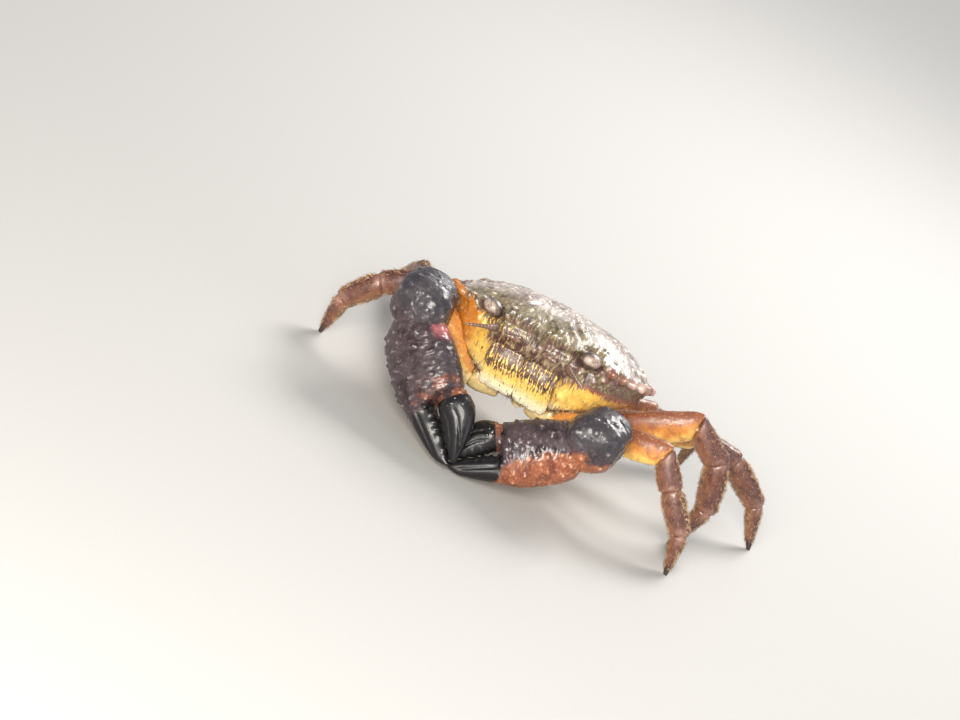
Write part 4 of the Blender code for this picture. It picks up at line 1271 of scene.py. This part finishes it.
def leg_bristles(leg, seed):
    chance = np.random.default_rng(seed)
    roots, leans, lengths, spots = [], [], [], []
    for number, (obj, start, end, axis, dorsal, across) in enumerate(leg_plates[leg]):
        count, length, stand = LEG_HAIR[PIECES[number]]
        points, normals = places(obj)
        share = (points - start) @ axis / np.linalg.norm(end - start)
        edge = np.abs(normals @ dorsal)
        favour = (0.12 + ramp(edge, 0.55, 0.9)) * within(share, 0.02, 0.12, 0.9, 1.0)
        favour = favour * (np.abs(normals @ axis) < 0.6)
        if PIECES[number] == "dactyl":
            favour = favour * ramp(share, 0.88, 0.7)
        chosen = chance.choice(len(points), count, p=favour / favour.sum())
        roots.append(points[chosen])
        leans.append(normals[chosen] * stand + axis * (1 - 0.4 * stand))
        shorter = 1 - 0.35 * share[chosen]
        lengths.append(length * MM * shorter * chance.uniform(0.5, 1.0, count))
        around = np.arctan2(normals[chosen] @ dorsal, normals[chosen] @ across) / (2 * np.pi) % 1
        down_leg = (number + 0.05 + 0.9 * share[chosen].clip(0, 1)) / 4.1
        spots.append(np.stack([0.01 + 0.98 * around, 0.01 + down_leg], axis=1))
    obj = bristles(leg + "_bristles", *map(np.concatenate, (roots, leans, lengths, spots)), chance)
    place_piece(obj, straw_finish, None)
    return len(obj.data.polygons)


print("bristle faces on each leg:", [leg_bristles(leg, 200 + i) for i, leg in enumerate(LEGS)])

# %% Bristles round the mouth
chance = np.random.default_rng(300)
shell_points, shell_normals = places(shell)
place = in_body(shell_points)
x, y, z = place.T
low_edge = 0.1 * ramp(z, -13, -18) * ramp(np.abs(x), 26, 20) * ramp(y, -6, -12)
above_mouth = ramp(np.abs(x), 16, 12) * bell(z, -5.5, 2.2) * ramp(y, -14, -18)
favour = np.maximum(low_edge, above_mouth) * (shell_normals @ body_axes[:, 1] < -0.1)
FACE_TUFTS = 1500
chosen = chance.choice(len(place), FACE_TUFTS, p=favour / favour.sum())
face_lean = shell_normals[chosen] * 0.28 + body_axes @ (0, -0.25, -1.0)
face_map = np.stack([0.5 + 0.9 * np.arctan2(x, -y)[chosen] / np.pi, 0.95 + z[chosen] / 30], axis=1)
face_lengths = chance.uniform(1.6, 3.8, FACE_TUFTS) * MM
fringe = bristles("face_bristles", shell_points[chosen], face_lean, face_lengths, face_map, chance, 0.09)
paint = Finish("face_bristle", gloss=0.15, dull=0.55, wet=0.4, bump=0.05)
fringe_colour = paint.fade(paint.cloud(420.0, 2.0), 0.46, 0.6)
fringe_colour = paint.blend(fringe_colour, (0.15, 0.07, 0.06), (0.62, 0.47, 0.28))
place_piece(fringe, paint.coloured(fringe_colour), None)
print("face bristles:", len(fringe.data.polygons))

# %% [markdown]
# ## Floor, light and camera
# The crab stands on a plain pale floor under soft studio light: a broad lamp above and behind, which
# lays the wet shine on its back, a key from the front, two weak fills, and one lamp for the floor
# farther back. The camera looks at the face from above and a little from the crab's own left. It is
# rolled, since the animal clung to a slope. Turning the crab would do the same, but it stands level.

# %% Floor
FLOOR_HALF = 6.0

floor_mesh = bpy.data.meshes.new("studio_floor")
floor_corners = [(x * FLOOR_HALF, y * FLOOR_HALF, 0) for x, y in ((-1, -1), (1, -1), (1, 1), (-1, 1))]
floor_mesh.from_pydata(floor_corners, [], [(0, 1, 2, 3)])
floor_finish = bpy.data.materials.new("floor")
floor_finish.use_nodes = True
paint = Paint(floor_finish.node_tree)
shader = paint.tree.nodes["Principled BSDF"]
shader.inputs["Roughness"].default_value = 0.75
paper = paint.blend(paint.cloud(900.0), (0.42, 0.41, 0.395), (0.45, 0.44, 0.425))
paint.link(paper, shader.inputs["Base Color"])
floor_mesh.materials.append(floor_finish)
put("studio_floor", floor_mesh)
print("floor", 2 * FLOOR_HALF, "m wide")

# %% Lamps
scene = bpy.context.scene
scene.view_settings.view_transform = "Standard"
world = bpy.data.worlds.new("studio")
world.use_nodes = True
sky = world.node_tree.nodes["Background"].inputs
sky["Color"].default_value = opaque((0.86, 0.92, 1.0))
sky["Strength"].default_value = 0.38
scene.world = world
crab_middle = Vector(body_origin)


def lamp(name, place, size, power, tint, target=crab_middle):
    """A square soft lamp, turned to face its target."""
    data = bpy.data.lights.new(name, "AREA")
    data.shape = "SQUARE"
    data.size = size
    data.energy = power
    data.color = tint
    obj = put(name, data)
    obj.location = place
    obj.rotation_euler = (target - Vector(place)).to_track_quat("-Z", "Y").to_euler()


lamp("top_back", (0.14, 0.46, 0.58), 0.34, 6.5, (1.0, 0.97, 0.94))
lamp("front_key", (0.02, -0.78, 0.42), 0.34, 9.0, (1.0, 0.95, 0.87))
lamp("low_fill", (-0.05, -0.62, 0.09), 0.40, 2.6, (1.0, 0.96, 0.90))
lamp("left_fill", (0.70, -0.25, 0.30), 0.50, 1.2, (0.9, 0.95, 1.0))
lamp("far_floor", (0.05, 1.25, 0.60), 0.80, 5.0, (1.0, 0.98, 0.95), Vector((0.05, 1.15, 0)))
print("lamps:", [light.name for light in bpy.data.lights])

# %% Camera
AZIMUTH, ELEVATION, ROLL = (math.radians(angle) for angle in (7.5, 22, 32))
CAMERA_DISTANCE = 0.9
FRAME_WIDTH = 0.3025
BODY_IN_FRAME = (0.0781, 0.0288)    # body's centre right of and above the frame's, as shares of its width

back_way = np.array((math.sin(AZIMUTH) * math.cos(ELEVATION), -math.cos(AZIMUTH) * math.cos(ELEVATION),
                     math.sin(ELEVATION)))
level_right = np.array((math.cos(AZIMUTH), math.sin(AZIMUTH), 0))
level_up = np.cross(back_way, level_right)
right = level_right * math.cos(ROLL) + level_up * math.sin(ROLL)
up = level_up * math.cos(ROLL) - level_right * math.sin(ROLL)
camera_place = (body_origin + back_way * CAMERA_DISTANCE
                - right * BODY_IN_FRAME[0] * FRAME_WIDTH - up * BODY_IN_FRAME[1] * FRAME_WIDTH)
camera_data = bpy.data.cameras.new("camera")
camera_data.sensor_width = 36
camera_data.lens = 36 * CAMERA_DISTANCE / FRAME_WIDTH
camera = put("camera", camera_data)
camera.matrix_world = Matrix(np.column_stack([right, up, back_way]).tolist()).to_4x4()
camera.location = camera_place
scene.camera = camera
print("camera at", camera_place.round(3), "lens", round(camera_data.lens, 1), "mm")
